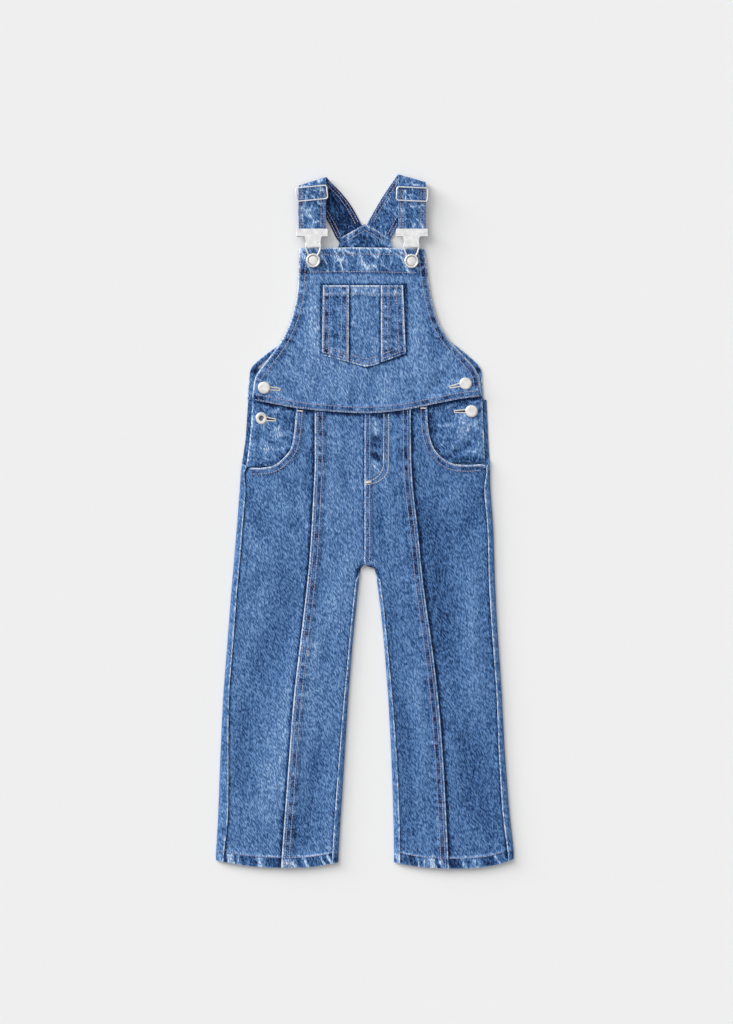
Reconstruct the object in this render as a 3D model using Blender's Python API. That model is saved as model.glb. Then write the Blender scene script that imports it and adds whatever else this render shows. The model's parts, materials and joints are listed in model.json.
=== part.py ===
"""Kids' denim dungarees, size 98, laid flat on their back.

X runs across the garment, Y from the hems to the shoulders and Z up off the
surface that it lies on. Every cut piece of cloth is a thin wall of its own,
0.3 mm from its neighbours at the seams. The back panels lie on the surface and
turn up over the side seams and inseams, so the front panels start a few
millimetres inside the outline. The shoulder straps leave the back bib, fold
over at the shoulders and come down to the adjusters and bib buckles.

Tables and sizes are in millimetres, measured from the centre front (x) and from
the hip line, 55 mm above the crotch (y). MIDDLE is the middle of the whole
garment in those measures, and it becomes the part's origin.
"""
import math

import bmesh
import bpy
import numpy as np

MM = 0.001
MIDDLE = (-2.05, 0.77)

# Cloth and heights above the surface
DENIM = 1.2             # wall of one panel
SEAM_GAP = 0.3          # between neighbouring pieces
TURN_GAP = 0.6          # the same at a turned-up edge, measured on its outer face
FRONT_TOP = 5.9         # outer face of the front panels
FOLD_MIDDLE = 2.7       # height of the outline, where front and back meet
FOLD_REACH = 12.0       # distance over which the front rises from the outline
SOLE_REACH = 3.0        # distance over which the back meets the surface
BACK_TOP = DENIM        # inner face of the back panels
POCKET_TOP = FRONT_TOP + SEAM_GAP + DENIM
CENTRE_FRONT = -1.6     # centre-front seam
CENTRE_BACK = 1.0       # centre-back seam
CROTCH = -55.0          # top of the gap between the legs
OPENING_FOOT = 61.0     # lower end of the buttoned side openings
BUTTON_STAND = 4.6      # of the back, beyond the outline at the side openings
STAND_STEP = 1.6        # between the points across an edge that lies flat

# Legs: where each line crosses a level, and how far the back turns over the front
LEG_COLUMNS = ("level", "side_l", "seam_l", "inner_l", "inner_r", "seam_r", "side_r",
               "side_wrap_l", "side_wrap_r", "inner_wrap")
LEG_ROWS = (
    (135.0, -137.3, -61.0, -2.0, 4.0, 52.0, 139.2, 6.0, 6.0, 2.6),
    (100.0, -140.4, -61.0, -2.0, 4.0, 52.3, 141.5, 6.0, 6.0, 2.6),
    (61.0, -146.0, -61.2, -2.0, 4.0, 53.2, 143.5, 6.0, 6.0, 2.6),
    (40.0, -152.0, -62.3, -2.0, 4.0, 54.8, 148.4, 6.0, 6.0, 2.6),
    (-5.0, -155.5, -64.6, -2.0, 4.0, 60.0, 152.0, 6.0, 6.0, 2.6),
    (-55.0, -159.6, -68.2, -7.0, 9.8, 65.0, 153.6, 6.0, 6.0, 2.6),
    (-70.0, -161.0, -69.7, -8.8, 12.4, 66.6, 154.0, 6.0, 6.0, 2.6),
    (-146.0, -167.0, -78.6, -16.7, 21.0, 77.1, 158.2, 6.0, 5.5, 2.8),
    (-209.0, -172.0, -86.0, -21.7, 26.0, 84.7, 162.4, 6.3, 5.2, 3.8),
    (-272.0, -175.0, -91.0, -25.6, 29.3, 90.0, 165.6, 8.4, 6.0, 5.2),
    (-361.0, -178.2, -97.6, -31.3, 32.4, 95.0, 172.4, 10.6, 7.0, 6.0),
    (-416.0, -181.0, -101.8, -34.2, 33.2, 98.0, 177.2, 8.4, 6.0, 6.0),
)
FRONT_LEVELS = (133.0, 100.0, 63.0, 40.0, -5.0, -35.0, -50.0, -57.0, -70.0, -105.0,
                -146.0, -209.0, -272.0, -316.0, -361.0, -412.0)
BACK_LEVELS = (146.6, 100.0, 61.0, 54.0, 47.0, 40.0, -5.0, -46.0, -56.0, -60.0, -65.0,
               -70.0, -105.0, -146.0, -209.0, -272.0, -316.0, -361.0, -408.0)

# Edges that run across: x, y
WAIST = ((-143.0, 146.8), (-108.0, 141.5), (-81.0, 136.2), (-60.0, 133.8), (-30.0, 131.8),
         (-2.6, 130.6), (22.0, 131.8), (53.0, 135.6), (84.0, 142.2), (115.0, 148.3),
         (142.0, 150.8))
HEM = ((-182.0, -405.5), (-136.0, -412.6), (-100.0, -414.2), (-69.0, -413.6), (-33.0, -408.0),
       (0.0, -405.0), (33.0, -408.0), (65.0, -413.2), (97.0, -415.1), (119.0, -415.0),
       (151.0, -411.6), (178.0, -403.8))
BIB_TOP = ((-82.0, 328.2), (0.0, 328.8), (71.0, 327.2))
BACK_NECK = ((-60.0, 324.3), (-31.0, 340.7), (0.0, 358.3), (28.0, 339.4), (60.0, 317.7))
POCKET_FOOT = ((-54.0, 200.2), (1.8, 185.0), (48.0, 202.4))
POCKET_MOUTH = 283.4

# Outlines of the bib, front and back: level, left x, right x
BIB_ROWS = (
    (327.7, -80.6, 69.8), (299.0, -81.4, 73.0), (266.0, -84.4, 78.6), (237.0, -92.5, 87.6),
    (215.0, -103.6, 101.6), (197.5, -116.4, 118.4), (183.0, -127.4, 130.6),
    (174.0, -133.0, 135.2), (160.0, -135.8, 136.8), (146.8, -137.0, 138.4),
)
BACK_BIB_ROWS = (
    (340.0, -31.4, 28.0), (325.0, -34.8, 31.6), (290.0, -46.0, 44.0), (250.0, -66.0, 66.0),
    (225.0, -88.0, 89.0), (209.5, -109.0, 110.0), (199.0, -123.0, 122.6),
    (184.0, -138.4, 136.7), (166.0, -141.4, 139.2), (147.0, -142.6, 141.0),
)
FACING_ROWS = ((340.0, -31.4, 28.0), (330.0, -33.6, 30.4), (308.0, -38.0, 35.0))

# Scoop pockets: the mouth's edge from the waist round to the side, and the hip
# panel's own edge, which runs on under it
SCOOP_L = ((137.0, -84.0), (120.0, -85.4), (103.0, -87.2), (87.0, -91.2), (76.5, -99.6),
           (68.2, -110.0), (65.0, -124.0), (63.2, -145.2))
SCOOP_R = ((139.6, 72.8), (120.0, 73.2), (103.6, 75.4), (88.7, 80.6), (77.5, 89.8),
           (70.2, 102.7), (68.2, 119.0), (67.6, 142.4))
HIP_L = ((136.6, -76.0), (118.0, -77.0), (100.0, -79.4), (82.0, -85.0), (70.0, -96.0),
         (66.5, -128.0), (66.2, -134.0))
HIP_R = ((139.0, 64.6), (118.0, 65.0), (100.0, 68.0), (82.0, 75.0), (73.0, 92.0),
         (71.8, 126.0), (71.4, 132.0))

# Straps: x of the middle, y of the fold's middle, tilt of the fold line in degrees,
# side of the body, and how far the back half bows towards the neck
STRAPS = {
    "l": (-65.1, 402.2, 17.5, -1.0, 4.0),
    "r": (54.6, 406.0, 15.5, 1.0, 1.5),
}
BOW_LENGTH = 66.0       # of the back half, over which it bows
STRAP_WIDTH = 33.0
STRAP = 1.6             # thickness of the sewn strap
FOLD_RADIUS = 5.0       # of the strap's middle plane at the shoulder
STRAP_FLOOR = STRAP / 2
STRAP_ON_BACK = BACK_TOP + SEAM_GAP + STRAP / 2
FACING = 1.0
FACING_TOP = BACK_TOP + SEAM_GAP + STRAP + SEAM_GAP + FACING
NECK_ANGLE = 30.0       # slope of the back neck edge where a strap leaves it
RAMP = (12.0, 2.5)      # distances outside the neck edge between which a strap rises
STRAP_END = (-8.5, -2.5)  # the same where it ends: at its outer and its inner edge
STRAP_RETURN = 396.0    # y where the turned-back end of the strap stops

# Bib buckle: a T-shaped plate, a bar behind it for the strap and a wire loop
BAR_Y = 346.0
BAR_Z = 6.5
BAR_RADIUS = 1.0
TURN_RADIUS = BAR_RADIUS + SEAM_GAP + STRAP / 2
PLATE = {"width": 38.0, "top": 351.0, "foot": 341.0, "thickness": 1.4, "corner": 1.2}
NECK = {"width": 20.0, "foot": 328.5}
PLATE_Z = BAR_Z + TURN_RADIUS + STRAP / 2 + SEAM_GAP
WIRE_RADIUS = 1.0
LUG = 1.7

# Adjuster, a wire frame on top of the strap with a bar under it: x, y, tilt in degrees
SLIDERS = {"l": (-65.4, 393.0, 5.5), "r": (54.6, 392.0, -2.6)}
SLIDER_WIDTH = 36.8
SLIDER_HEIGHT = 16.0
SLIDER_CORNER = 3.0

# Buttons
BIB_BUTTONS = {"l": (-63.8, 313.0), "r": (53.8, 312.2)}
BIB_BUTTON_RADIUS = 8.7
SIDE_BUTTONS = {
    "top_l": (-122.6, 160.8), "low_l": (-125.8, 124.3),
    "top_r": (118.6, 165.8), "low_r": (125.8, 132.8),
}
SIDE_BUTTON_RADIUS = 7.5
SHANK_HOLE = 3.0

COLOURS = {
    "denim": (0.115, 0.205, 0.415), "denim_dark": (0.075, 0.15, 0.33),
    "denim_light": (0.15, 0.25, 0.47), "steel": (0.78, 0.78, 0.76),
}


# ---------------------------------------------------------------- helpers

def follow(table, value):
    """Read a table of (position, size) at any position, on a smooth curve."""
    rows = sorted((row[0], row[1]) for row in table)
    place = np.array([row[0] for row in rows])
    size = np.array([row[1] for row in rows])
    slope = np.gradient(size, place)
    value = min(max(value, place[0]), place[-1])
    i = min(int(np.searchsorted(place, value, side="right")) - 1, len(place) - 2)
    span = place[i + 1] - place[i]
    t = (value - place[i]) / span
    return float((2 * t ** 3 - 3 * t ** 2 + 1) * size[i] + (t ** 3 - 2 * t ** 2 + t) * span * slope[i]
                 + (3 * t ** 2 - 2 * t ** 3) * size[i + 1] + (t ** 3 - t ** 2) * span * slope[i + 1])


def leg_line(name, level):
    """x of one of the legs' lines, or a width of it, at a level."""
    column = LEG_COLUMNS.index(name)
    return follow([(row[0], row[column]) for row in LEG_ROWS], level)


def straight(table, x):
    """Height of an edge that runs across in straight runs."""
    return float(np.interp(x, [row[0] for row in table], [row[1] for row in table]))


def quarter(share):
    """A quarter-round rise from 0 to 1."""
    return math.sqrt(1.0 - (1.0 - min(max(share, 0.0), 1.0)) ** 2)


def crown(inset):
    """Height of the front's outer face, an inset away from the outline."""
    return FOLD_MIDDLE + (FRONT_TOP - FOLD_MIDDLE) * quarter(inset / FOLD_REACH)


def sole(inset):
    """Height of the back's outer face, an inset away from the outline."""
    return FOLD_MIDDLE * (1.0 - quarter(inset / SOLE_REACH))


def trouser_inset(x, y):
    """Distance from a point on the trousers' front to their outline."""
    outer = min(x - leg_line("side_l", y), leg_line("side_r", y) - x)
    if y < CROTCH:
        inner = leg_line("inner_l", y) - x if x < 0 else x - leg_line("inner_r", y)
        return max(min(outer, inner), 0.0)
    half = (leg_line("inner_r", CROTCH) - leg_line("inner_l", CROTCH)) / 2
    middle = (leg_line("inner_r", CROTCH) + leg_line("inner_l", CROTCH)) / 2
    crotch = math.hypot(max(abs(x - middle) - half, 0.0), y - CROTCH)
    return max(min(outer, crotch), 0.0)


def trouser_height(x, y):
    return crown(trouser_inset(x, y))


def hip_height(x, y):
    """The hip panel passes under the scoop's edge, one wall lower."""
    lowest = BACK_TOP + SEAM_GAP + DENIM
    return max(trouser_height(x, y) - DENIM - SEAM_GAP, lowest)


def bib_height(x, y):
    left = follow([(row[0], row[1]) for row in BIB_ROWS], y)
    right = follow([(row[0], row[2]) for row in BIB_ROWS], y)
    return crown(min(x - left, right - x))


def spread(count, near_start=(), near_end=()):
    """Shares of a row's width: even, with some measured from either end."""
    return {"count": count, "start": near_start, "end": near_end}


def shares(rule, width):
    start = [d / width for d in rule["start"]]
    end = [1.0 - d / width for d in reversed(rule["end"])]
    first = start[-1] if start else 0.0
    last = end[0] if end else 1.0
    even = list(np.linspace(first, last, rule["count"] + 1))
    return start[:-1] + even + end[1:] if start and end else \
        start[:-1] + even if start else even + end[1:] if end else even


def panel(left, right, rule, top=None, foot=None):
    """Points across a panel between its left and right edges, given as (x, y)
    row by row from the top. top and foot bend the first and last rows, and less
    and less the rows between."""
    left, right = np.array(left), np.array(right)
    for edge in (left, right):
        if top is not None:
            edge[0, 1] = top(edge[0, 0])
        if foot is not None:
            edge[-1, 1] = foot(edge[-1, 0])
    high = (left[0, 1] + right[0, 1]) / 2
    low = (left[-1, 1] + right[-1, 1]) / 2
    grid = []
    for a, b in zip(left, right):
        weight = ((a[1] + b[1]) / 2 - low) / (high - low)
        row = []
        for share in shares(rule, b[0] - a[0]):
            x, y = a + (b - a) * share
            if top is not None:
                x_top, y_top = left[0] + (right[0] - left[0]) * share
                y += weight * (top(x_top) - y_top)
            if foot is not None:
                x_foot, y_foot = left[-1] + (right[-1] - left[-1]) * share
                y += (1 - weight) * (foot(x_foot) - y_foot)
            row.append((x, y))
        grid.append(row)
    return grid


def raised(grid, height):
    """The panel's points with their height above the surface."""
    return [[(x, y, height(x, y)) for x, y in row] for row in grid]


def material(name, colour, metallic=0.0, roughness=0.85):
    made = bpy.data.materials.new(name)
    made.use_nodes = True
    shader = made.node_tree.nodes["Principled BSDF"]
    shader.inputs["Base Color"].default_value = (*COLOURS[colour], 1.0)
    shader.inputs["Metallic"].default_value = metallic
    shader.inputs["Roughness"].default_value = roughness
    return made


def add_object(name, mesh, colour, metallic=0.0, roughness=0.85):
    made = bpy.data.objects.new(name, mesh)
    bpy.context.scene.collection.objects.link(made)
    mesh.materials.append(material(name, colour, metallic, roughness))
    return made


def to_world(point):
    return ((point[0] - MIDDLE[0]) * MM, (point[1] - MIDDLE[1]) * MM, point[2] * MM)


def cloth(name, grid, thickness, colour="denim", offset=-1.0):
    """A wall of cloth whose outer face is the grid; offset 0 puts the grid in its middle."""
    columns = len(grid[0])
    points = [to_world(point) for row in grid for point in row]
    faces = []
    for r in range(len(grid) - 1):
        for c in range(columns - 1):
            corner = r * columns + c
            faces.append((corner, corner + columns, corner + columns + 1, corner + 1))
    mesh = bpy.data.meshes.new(name)
    mesh.from_pydata(points, [], faces)
    mesh.validate()
    made = add_object(name, mesh, colour)
    wall = made.modifiers.new("Wall", "SOLIDIFY")
    wall.thickness = thickness * MM
    wall.offset = offset
    mesh.shade_smooth()
    return made


def wall(name, outer, inner, colour="denim"):
    """A closed wall between an outer and an inner grid of the same points."""
    columns = len(outer[0])
    count = len(outer) * columns
    points = [to_world(point) for grid in (outer, inner) for row in grid for point in row]
    rows = range(0, count - columns, columns)
    faces = []
    for row in rows:
        for corner in range(row, row + columns - 1):
            quad = (corner, corner + columns, corner + columns + 1, corner + 1)
            faces += [quad, tuple(k + count for k in reversed(quad))]
    rim = list(range(columns)) + list(range(2 * columns - 1, count, columns))
    rim += list(range(count - 2, count - columns - 1, -1)) + list(range(count - 2 * columns, 0, -columns))
    for a, b in zip(rim, rim[1:] + rim[:1]):
        faces.append((a, b, b + count, a + count))
    mesh = bpy.data.meshes.new(name)
    mesh.from_pydata(points, [], faces)
    mesh.shade_smooth()
    return add_object(name, mesh, colour)


def hidden_cutter(name, mesh):
    made = bpy.data.objects.new(name, mesh)
    bpy.context.scene.collection.objects.link(made)
    made.hide_render = True
    made.display_type = "WIRE"
    return made


def boolean(target, other, operation):
    step = target.modifiers.new(operation.title(), "BOOLEAN")
    step.operation = operation
    step.object = other
    step.solver = "EXACT"


def tube_mesh(name, path, radius, sides=8, closed=False):
    """A round wire along a path, with flat ends unless it closes on itself."""
    path = [np.array(to_world(point)) for point in path]
    mesh = bmesh.new()
    rings = []
    side = None
    for i, point in enumerate(path):
        before = path[i - 1] if i or closed else point
        after = path[(i + 1) % len(path)] if i + 1 < len(path) or closed else point
        along = (after - before) / np.linalg.norm(after - before)
        if side is None:
            side = np.cross(along, (0.0, 0.0, 1.0))
            if np.linalg.norm(side) < 0.1:
                side = np.cross(along, (0.0, 1.0, 0.0))
        side = side - along * side.dot(along)
        side = side / np.linalg.norm(side)
        up = np.cross(side, along)
        ring = []
        for k in range(sides):
            angle = 2 * math.pi * (k + 0.5) / sides
            offset = (side * math.cos(angle) + up * math.sin(angle)) * radius * MM
            ring.append(mesh.verts.new(point + offset))
        rings.append(ring)
    pairs = list(zip(rings, rings[1:])) + ([(rings[-1], rings[0])] if closed else [])
    for a, b in pairs:
        for k in range(sides):
            mesh.faces.new((a[k], a[(k + 1) % sides], b[(k + 1) % sides], b[k]))
    if not closed:
        mesh.faces.new(list(reversed(rings[0])))
        mesh.faces.new(rings[-1])
    bmesh.ops.recalc_face_normals(mesh, faces=mesh.faces)
    made = bpy.data.meshes.new(name)
    mesh.to_mesh(made)
    mesh.free()
    return made


def prism_mesh(name, outline, low, high):
    """A plate cut to an outline of (x, y), between two heights."""
    mesh = bmesh.new()
    foot = [mesh.verts.new(to_world((x, y, low))) for x, y in outline]
    face = mesh.faces.new(foot)
    top = bmesh.ops.extrude_face_region(mesh, geom=[face])["geom"]
    for item in top:
        if isinstance(item, bmesh.types.BMVert):
            item.co.z = high * MM
    bmesh.ops.recalc_face_normals(mesh, faces=mesh.faces)
    made = bpy.data.meshes.new(name)
    mesh.to_mesh(made)
    mesh.free()
    return made


def turned(name, centre, profile, segments, colour="steel"):
    """A round piece from its profile of (radius, height), from the foot's middle up."""
    mesh = bmesh.new()
    rings = []
    for radius, height in profile:
        if radius == 0.0:
            rings.append([mesh.verts.new(to_world((*centre, height)))])
            continue
        ring = []
        for k in range(segments):
            angle = 2 * math.pi * k / segments
            x = centre[0] + radius * math.cos(angle)
            y = centre[1] + radius * math.sin(angle)
            ring.append(mesh.verts.new(to_world((x, y, height))))
        rings.append(ring)
    for a, b in zip(rings, rings[1:]):
        for k in range(segments):
            j = (k + 1) % segments
            corners = [a[k % len(a)], a[j % len(a)], b[j % len(b)], b[k % len(b)]]
            mesh.faces.new(list(dict.fromkeys(corners)))
    bmesh.ops.recalc_face_normals(mesh, faces=mesh.faces)
    made = bpy.data.meshes.new(name)
    mesh.to_mesh(made)
    mesh.free()
    made.shade_smooth()
    made.set_sharp_from_angle(angle=math.radians(35))
    return add_object(name, made, colour, metallic=1.0, roughness=0.3)


# ---------------------------------------------------------------- trousers

def front_centre(side):
    """Inner front panel of a leg, from the panel seam to the centre seam or inseam."""
    seam, outline = [], []
    for level in FRONT_LEVELS:
        gap = SEAM_GAP / 2
        if level > -55.0:
            inner = CENTRE_FRONT + (gap if side == "r" else -gap)
        else:
            turn = leg_line("inner_wrap", level) + TURN_GAP
            inner = leg_line("inner_" + side, level) + (turn if side == "r" else -turn)
        outline.append((inner, level))
        panel_seam = leg_line("seam_" + side, level) + (-gap if side == "r" else gap)
        seam.append((panel_seam, level))
    left, right = (seam, outline) if side == "l" else (outline, seam)
    edge = (0.0, 2.0, 5.0, 10.0)
    rule = spread(3, near_end=edge) if side == "l" else spread(3, near_start=edge)
    grid = panel(left, right, rule,
                 top=lambda x: follow(WAIST, x) - SEAM_GAP, foot=lambda x: follow(HEM, x))
    return cloth("front_centre_" + side, raised(grid, trouser_height), DENIM)


def front_side(side):
    """Outer front panel of a leg, cut away at the top for the scoop pocket."""
    scoop = SCOOP_L if side == "l" else SCOOP_R
    gap = SEAM_GAP / 2
    outline = [(x, y) for y, x in scoop]
    levels = [y for y, _ in scoop]
    for level in (level for level in FRONT_LEVELS if level < OPENING_FOOT - 5):
        turn = leg_line("side_wrap_" + side, level) + TURN_GAP
        edge = leg_line("side_" + side, level) + (turn if side == "l" else -turn)
        outline.append((edge, level))
        levels.append(level)
    seam = [(leg_line("seam_" + side, y) + (-gap if side == "l" else gap), y) for y in levels]
    left, right = (outline, seam) if side == "l" else (seam, outline)
    edge = (0.0, 2.5, 6.0)
    rule = spread(4, near_start=edge) if side == "l" else spread(4, near_end=edge)
    grid = panel(left, right, rule,
                 top=lambda x: follow(WAIST, x) - SEAM_GAP, foot=lambda x: follow(HEM, x))
    return cloth("front_side_" + side, raised(grid, trouser_height), DENIM)


def hip_panel(side):
    """The panel that shows inside a scoop pocket's mouth."""
    inner = [(x, y) for y, x in (HIP_L if side == "l" else HIP_R)]
    outer = [(leg_line("side_" + side, y) + (0.4 if side == "l" else -0.4), y) for _, y in inner]
    left, right = (outer, inner) if side == "l" else (inner, outer)
    edge = (0.0, 2.5, 6.0)
    rule = spread(3, near_start=edge) if side == "l" else spread(3, near_end=edge)
    grid = panel(left, right, rule, top=lambda x: follow(WAIST, x) - SEAM_GAP)
    made = cloth("hip_panel_" + side, raised(grid, hip_height), DENIM, "denim_dark")
    shank_hole(made, SIDE_BUTTONS["low_" + side])
    return made


def turned_edge(wrap, flat_start, share):
    """Section of a panel's edge, from its end inwards, as (inset, height). A share of 0 lies
    flat from flat_start outwards, and 1 is turned up over the outline by wrap."""
    folded = [(inset, crown(inset)) for inset in (wrap, wrap * 0.5, wrap * 0.2)]
    folded += [(0.0, FOLD_MIDDLE), (0.6, sole(0.6)), (SOLE_REACH, 0.0)]
    steps = np.diff(np.array(folded)[::-1], axis=0)
    length = STAND_STEP + (np.hypot(steps[:, 0], steps[:, 1]) - STAND_STEP) * share
    heading = np.arctan2(steps[:, 1], -steps[:, 0]) * share
    start = flat_start + (SOLE_REACH - flat_start) * share
    inset = start - np.concatenate(([0.0], np.cumsum(length * np.cos(heading))))
    height = np.concatenate(([0.0], np.cumsum(length * np.sin(heading))))
    return list(zip(inset[::-1], height[::-1]))


def leg_section(level, side):
    """Outer face of the back panel across one leg, from its right edge round to its left."""
    names = ("inner_l", "side_l") if side == "l" else ("side_r", "inner_r")
    ends = []
    for name, sign in zip(names, (-1.0, 1.0)):
        is_side = name.startswith("side")
        wrap = leg_line("side_wrap_" + side if is_side else "inner_wrap", level)
        edge = leg_line(name, level)
        start, full = (OPENING_FOOT, 40.0) if is_side else (-56.0, -70.0)
        share = min(max((start - level) / (start - full), 0.0), 1.0)
        stand = edge - sign * BUTTON_STAND if is_side else edge
        if not is_side and level > -50.0:
            stand = CENTRE_BACK + sign * SEAM_GAP / 2
        flat_start = 5 * STAND_STEP + sign * (stand - edge)
        ends.append([(edge + sign * inset, z) for inset, z in turned_edge(wrap, flat_start, share)])
    right, left = ends
    across = [(x, 0.0) for x in np.linspace(right[-1][0], left[-1][0], 6)[1:-1]]
    return right + across + left[::-1]


def inner_section(section):
    """The inner face of a section: its points moved in by one wall, square to the line."""
    line = np.array(section)
    along = np.gradient(line, axis=0)
    along /= np.linalg.norm(along, axis=1)[:, None]
    return [(x + along[i, 1] * DENIM, z - along[i, 0] * DENIM) for i, (x, z) in enumerate(section)]


def back_leg(side):
    """Back panel of a leg: flat on the surface, turned up over the front at its seams."""
    outer, inner = [], []
    for level in BACK_LEVELS:
        last = level == BACK_LEVELS[-1]
        section = leg_section(level, side)
        ys = [follow(HEM, x) if last else level for x, _ in section]
        outer.append([(x, y, z) for (x, z), y in zip(section, ys)])
        inner.append([(x, y, z) for (x, z), y in zip(inner_section(section), ys)])
    return wall("back_leg_" + side, outer, inner)


# ---------------------------------------------------------------- bib

def bib_front():
    left = [(row[1], row[0]) for row in BIB_ROWS]
    right = [(row[2], row[0]) for row in BIB_ROWS]
    edge = (0.0, 2.5, 6.0, 12.0)
    grid = panel(left, right, spread(6, edge, edge),
                 top=lambda x: follow(BIB_TOP, x), foot=lambda x: follow(WAIST, x))
    made = cloth("bib_front", raised(grid, bib_height), DENIM)
    for side in ("l", "r"):
        shank_hole(made, SIDE_BUTTONS["top_" + side])
    return made


def back_bib():
    left = [(row[1], row[0]) for row in BACK_BIB_ROWS]
    right = [(row[2], row[0]) for row in BACK_BIB_ROWS]
    grid = panel(left, right, spread(6), top=lambda x: straight(BACK_NECK, x))
    return cloth("back_bib", raised(grid, lambda x, y: BACK_TOP), DENIM, "denim_dark")


def back_facing():
    """Facing inside the back neck; the strap ends lie between it and the back bib."""
    left = [(row[1], row[0]) for row in FACING_ROWS]
    right = [(row[2], row[0]) for row in FACING_ROWS]
    grid = panel(left, right, spread(4), top=lambda x: straight(BACK_NECK, x))
    return cloth("back_facing", raised(grid, lambda x, y: FACING_TOP), FACING, "denim_dark")


POCKET_PANELS = (
    # name, left x at the mouth, at the foot, right x at the mouth, at the foot
    ("pocket_side_l", -52.0, -53.4, -22.0, -22.4),
    ("pocket_centre", -21.7, -22.1, 17.9, 18.1),
    ("pocket_side_r", 18.2, 18.4, 43.6, 47.0),
)


def pocket_panels():
    """The bib pocket's three pieces, on the bib."""
    for name, left_top, left_foot, right_top, right_foot in POCKET_PANELS:
        left = [(left_top + (left_foot - left_top) * t, POCKET_MOUTH - 83.0 * t)
                for t in (0.0, 0.15, 0.5, 1.0)]
        right = [(right_top + (right_foot - right_top) * t, POCKET_MOUTH - 83.0 * t)
                 for t in (0.0, 0.15, 0.5, 1.0)]
        grid = panel(left, right, spread(4), foot=lambda x: straight(POCKET_FOOT, x))
        cloth(name, raised(grid, lambda x, y: POCKET_TOP), DENIM, "denim_light")


# ---------------------------------------------------------------- straps and hardware

def strap_frame(side):
    """Middle x, fold point, fold direction (towards the neck) and fold normal."""
    middle, fold, tilt, hand, _ = STRAPS[side]
    tilt = math.radians(tilt)
    along = np.array((-hand * math.cos(tilt), math.sin(tilt)))
    normal = np.array((hand * math.sin(tilt), math.cos(tilt)))
    return middle, np.array((middle, fold)), along, normal


def front_strap_height(y, fold):
    """Middle plane of the front strap: it rises from the buckle to the fold."""
    low = BAR_Z + TURN_RADIUS
    high = STRAP_FLOOR + 2 * FOLD_RADIUS
    share = min(max((y - BAR_Y) / (fold - BAR_Y - 6.0), 0.0), 1.0)
    return low + (high - low) * share


def neck_distance(x, y, hand):
    """How far a point lies outside the back neck edge."""
    slope = math.radians(NECK_ANGLE)
    apex = 358.3
    return (y - apex) * math.cos(slope) + hand * x * math.sin(slope)


def strap_point(side, across, run):
    """Point on the strap's middle plane; run counts from the bar up the front."""
    middle, fold, along, normal = strap_frame(side)
    x = middle + across
    flat = np.array((x, BAR_Y + run)) - fold
    a, q = flat.dot(along), flat.dot(normal)
    if q <= 0.0:
        return x, BAR_Y + run, front_strap_height(BAR_Y + run, fold[1])
    if q <= math.pi * FOLD_RADIUS:
        out = FOLD_RADIUS * math.sin(q / FOLD_RADIUS)
        spot = fold + along * a + normal * out
        return spot[0], spot[1], STRAP_FLOOR + FOLD_RADIUS * (1 + math.cos(q / FOLD_RADIUS))
    past = q - math.pi * FOLD_RADIUS
    hand, bow = STRAPS[side][3:]
    turn = math.radians(2 * STRAPS[side][2])
    sideways = np.array((-hand * math.cos(turn), math.sin(turn)))
    spot = fold + along * a - normal * past
    spot = spot + sideways * bow * math.sin(math.pi * min(past / BOW_LENGTH, 1.0))
    away = neck_distance(spot[0], spot[1], hand)
    lift = 1.0 - min(max((away - RAMP[1]) / (RAMP[0] - RAMP[1]), 0.0), 1.0)
    return spot[0], spot[1], STRAP_FLOOR + (STRAP_ON_BACK - STRAP_FLOOR) * lift


def strap_run(side, across, distance):
    """Run at which the strap is at a distance outside the back neck edge."""
    hand = STRAPS[side][3]
    run = 90.0
    while True:
        x, y, _ = strap_point(side, across, run)
        if neck_distance(x, y, hand) < distance:
            return run
        run += 0.25


def strap(side):
    """One sewn strip: turned back behind the buckle's bar, up, over and down the back."""
    middle, fold, along, normal = strap_frame(side)
    columns = []
    for across in np.linspace(-STRAP_WIDTH / 2, STRAP_WIDTH / 2, 5):
        x = middle + across
        points = []
        for y in np.linspace(STRAP_RETURN, BAR_Y, 5)[:-1]:
            rise = (y - BAR_Y) / (STRAP_RETURN - BAR_Y)
            points.append((x, y, BAR_Z - TURN_RADIUS + 1.8 * rise))
        for angle in np.linspace(-90.0, -270.0, 7):
            turn = math.radians(angle)
            points.append((x, BAR_Y + TURN_RADIUS * math.cos(turn),
                           BAR_Z + TURN_RADIUS * math.sin(turn)))
        meets = (fold[1] - BAR_Y) - (x - fold[0]) * normal[0] / normal[1]
        over = math.pi * FOLD_RADIUS / normal[1]
        inner = 0.5 - STRAPS[side][3] * across / STRAP_WIDTH
        ramp_top = strap_run(side, across, RAMP[0])
        end = strap_run(side, across, STRAP_END[0] + (STRAP_END[1] - STRAP_END[0]) * inner)
        runs = list(np.linspace(0.0, meets, 6)[1:-1])
        runs += list(np.linspace(meets, meets + over, 9))
        runs += list(np.linspace(meets + over, ramp_top, 6)[1:])
        runs += [strap_run(side, across, RAMP[1]), end]
        points += [strap_point(side, across, run) for run in runs]
        columns.append(points)
    grid = [list(row) for row in zip(*columns)]
    return cloth("strap_" + side, grid, STRAP, "denim_dark", offset=0.0)


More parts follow.
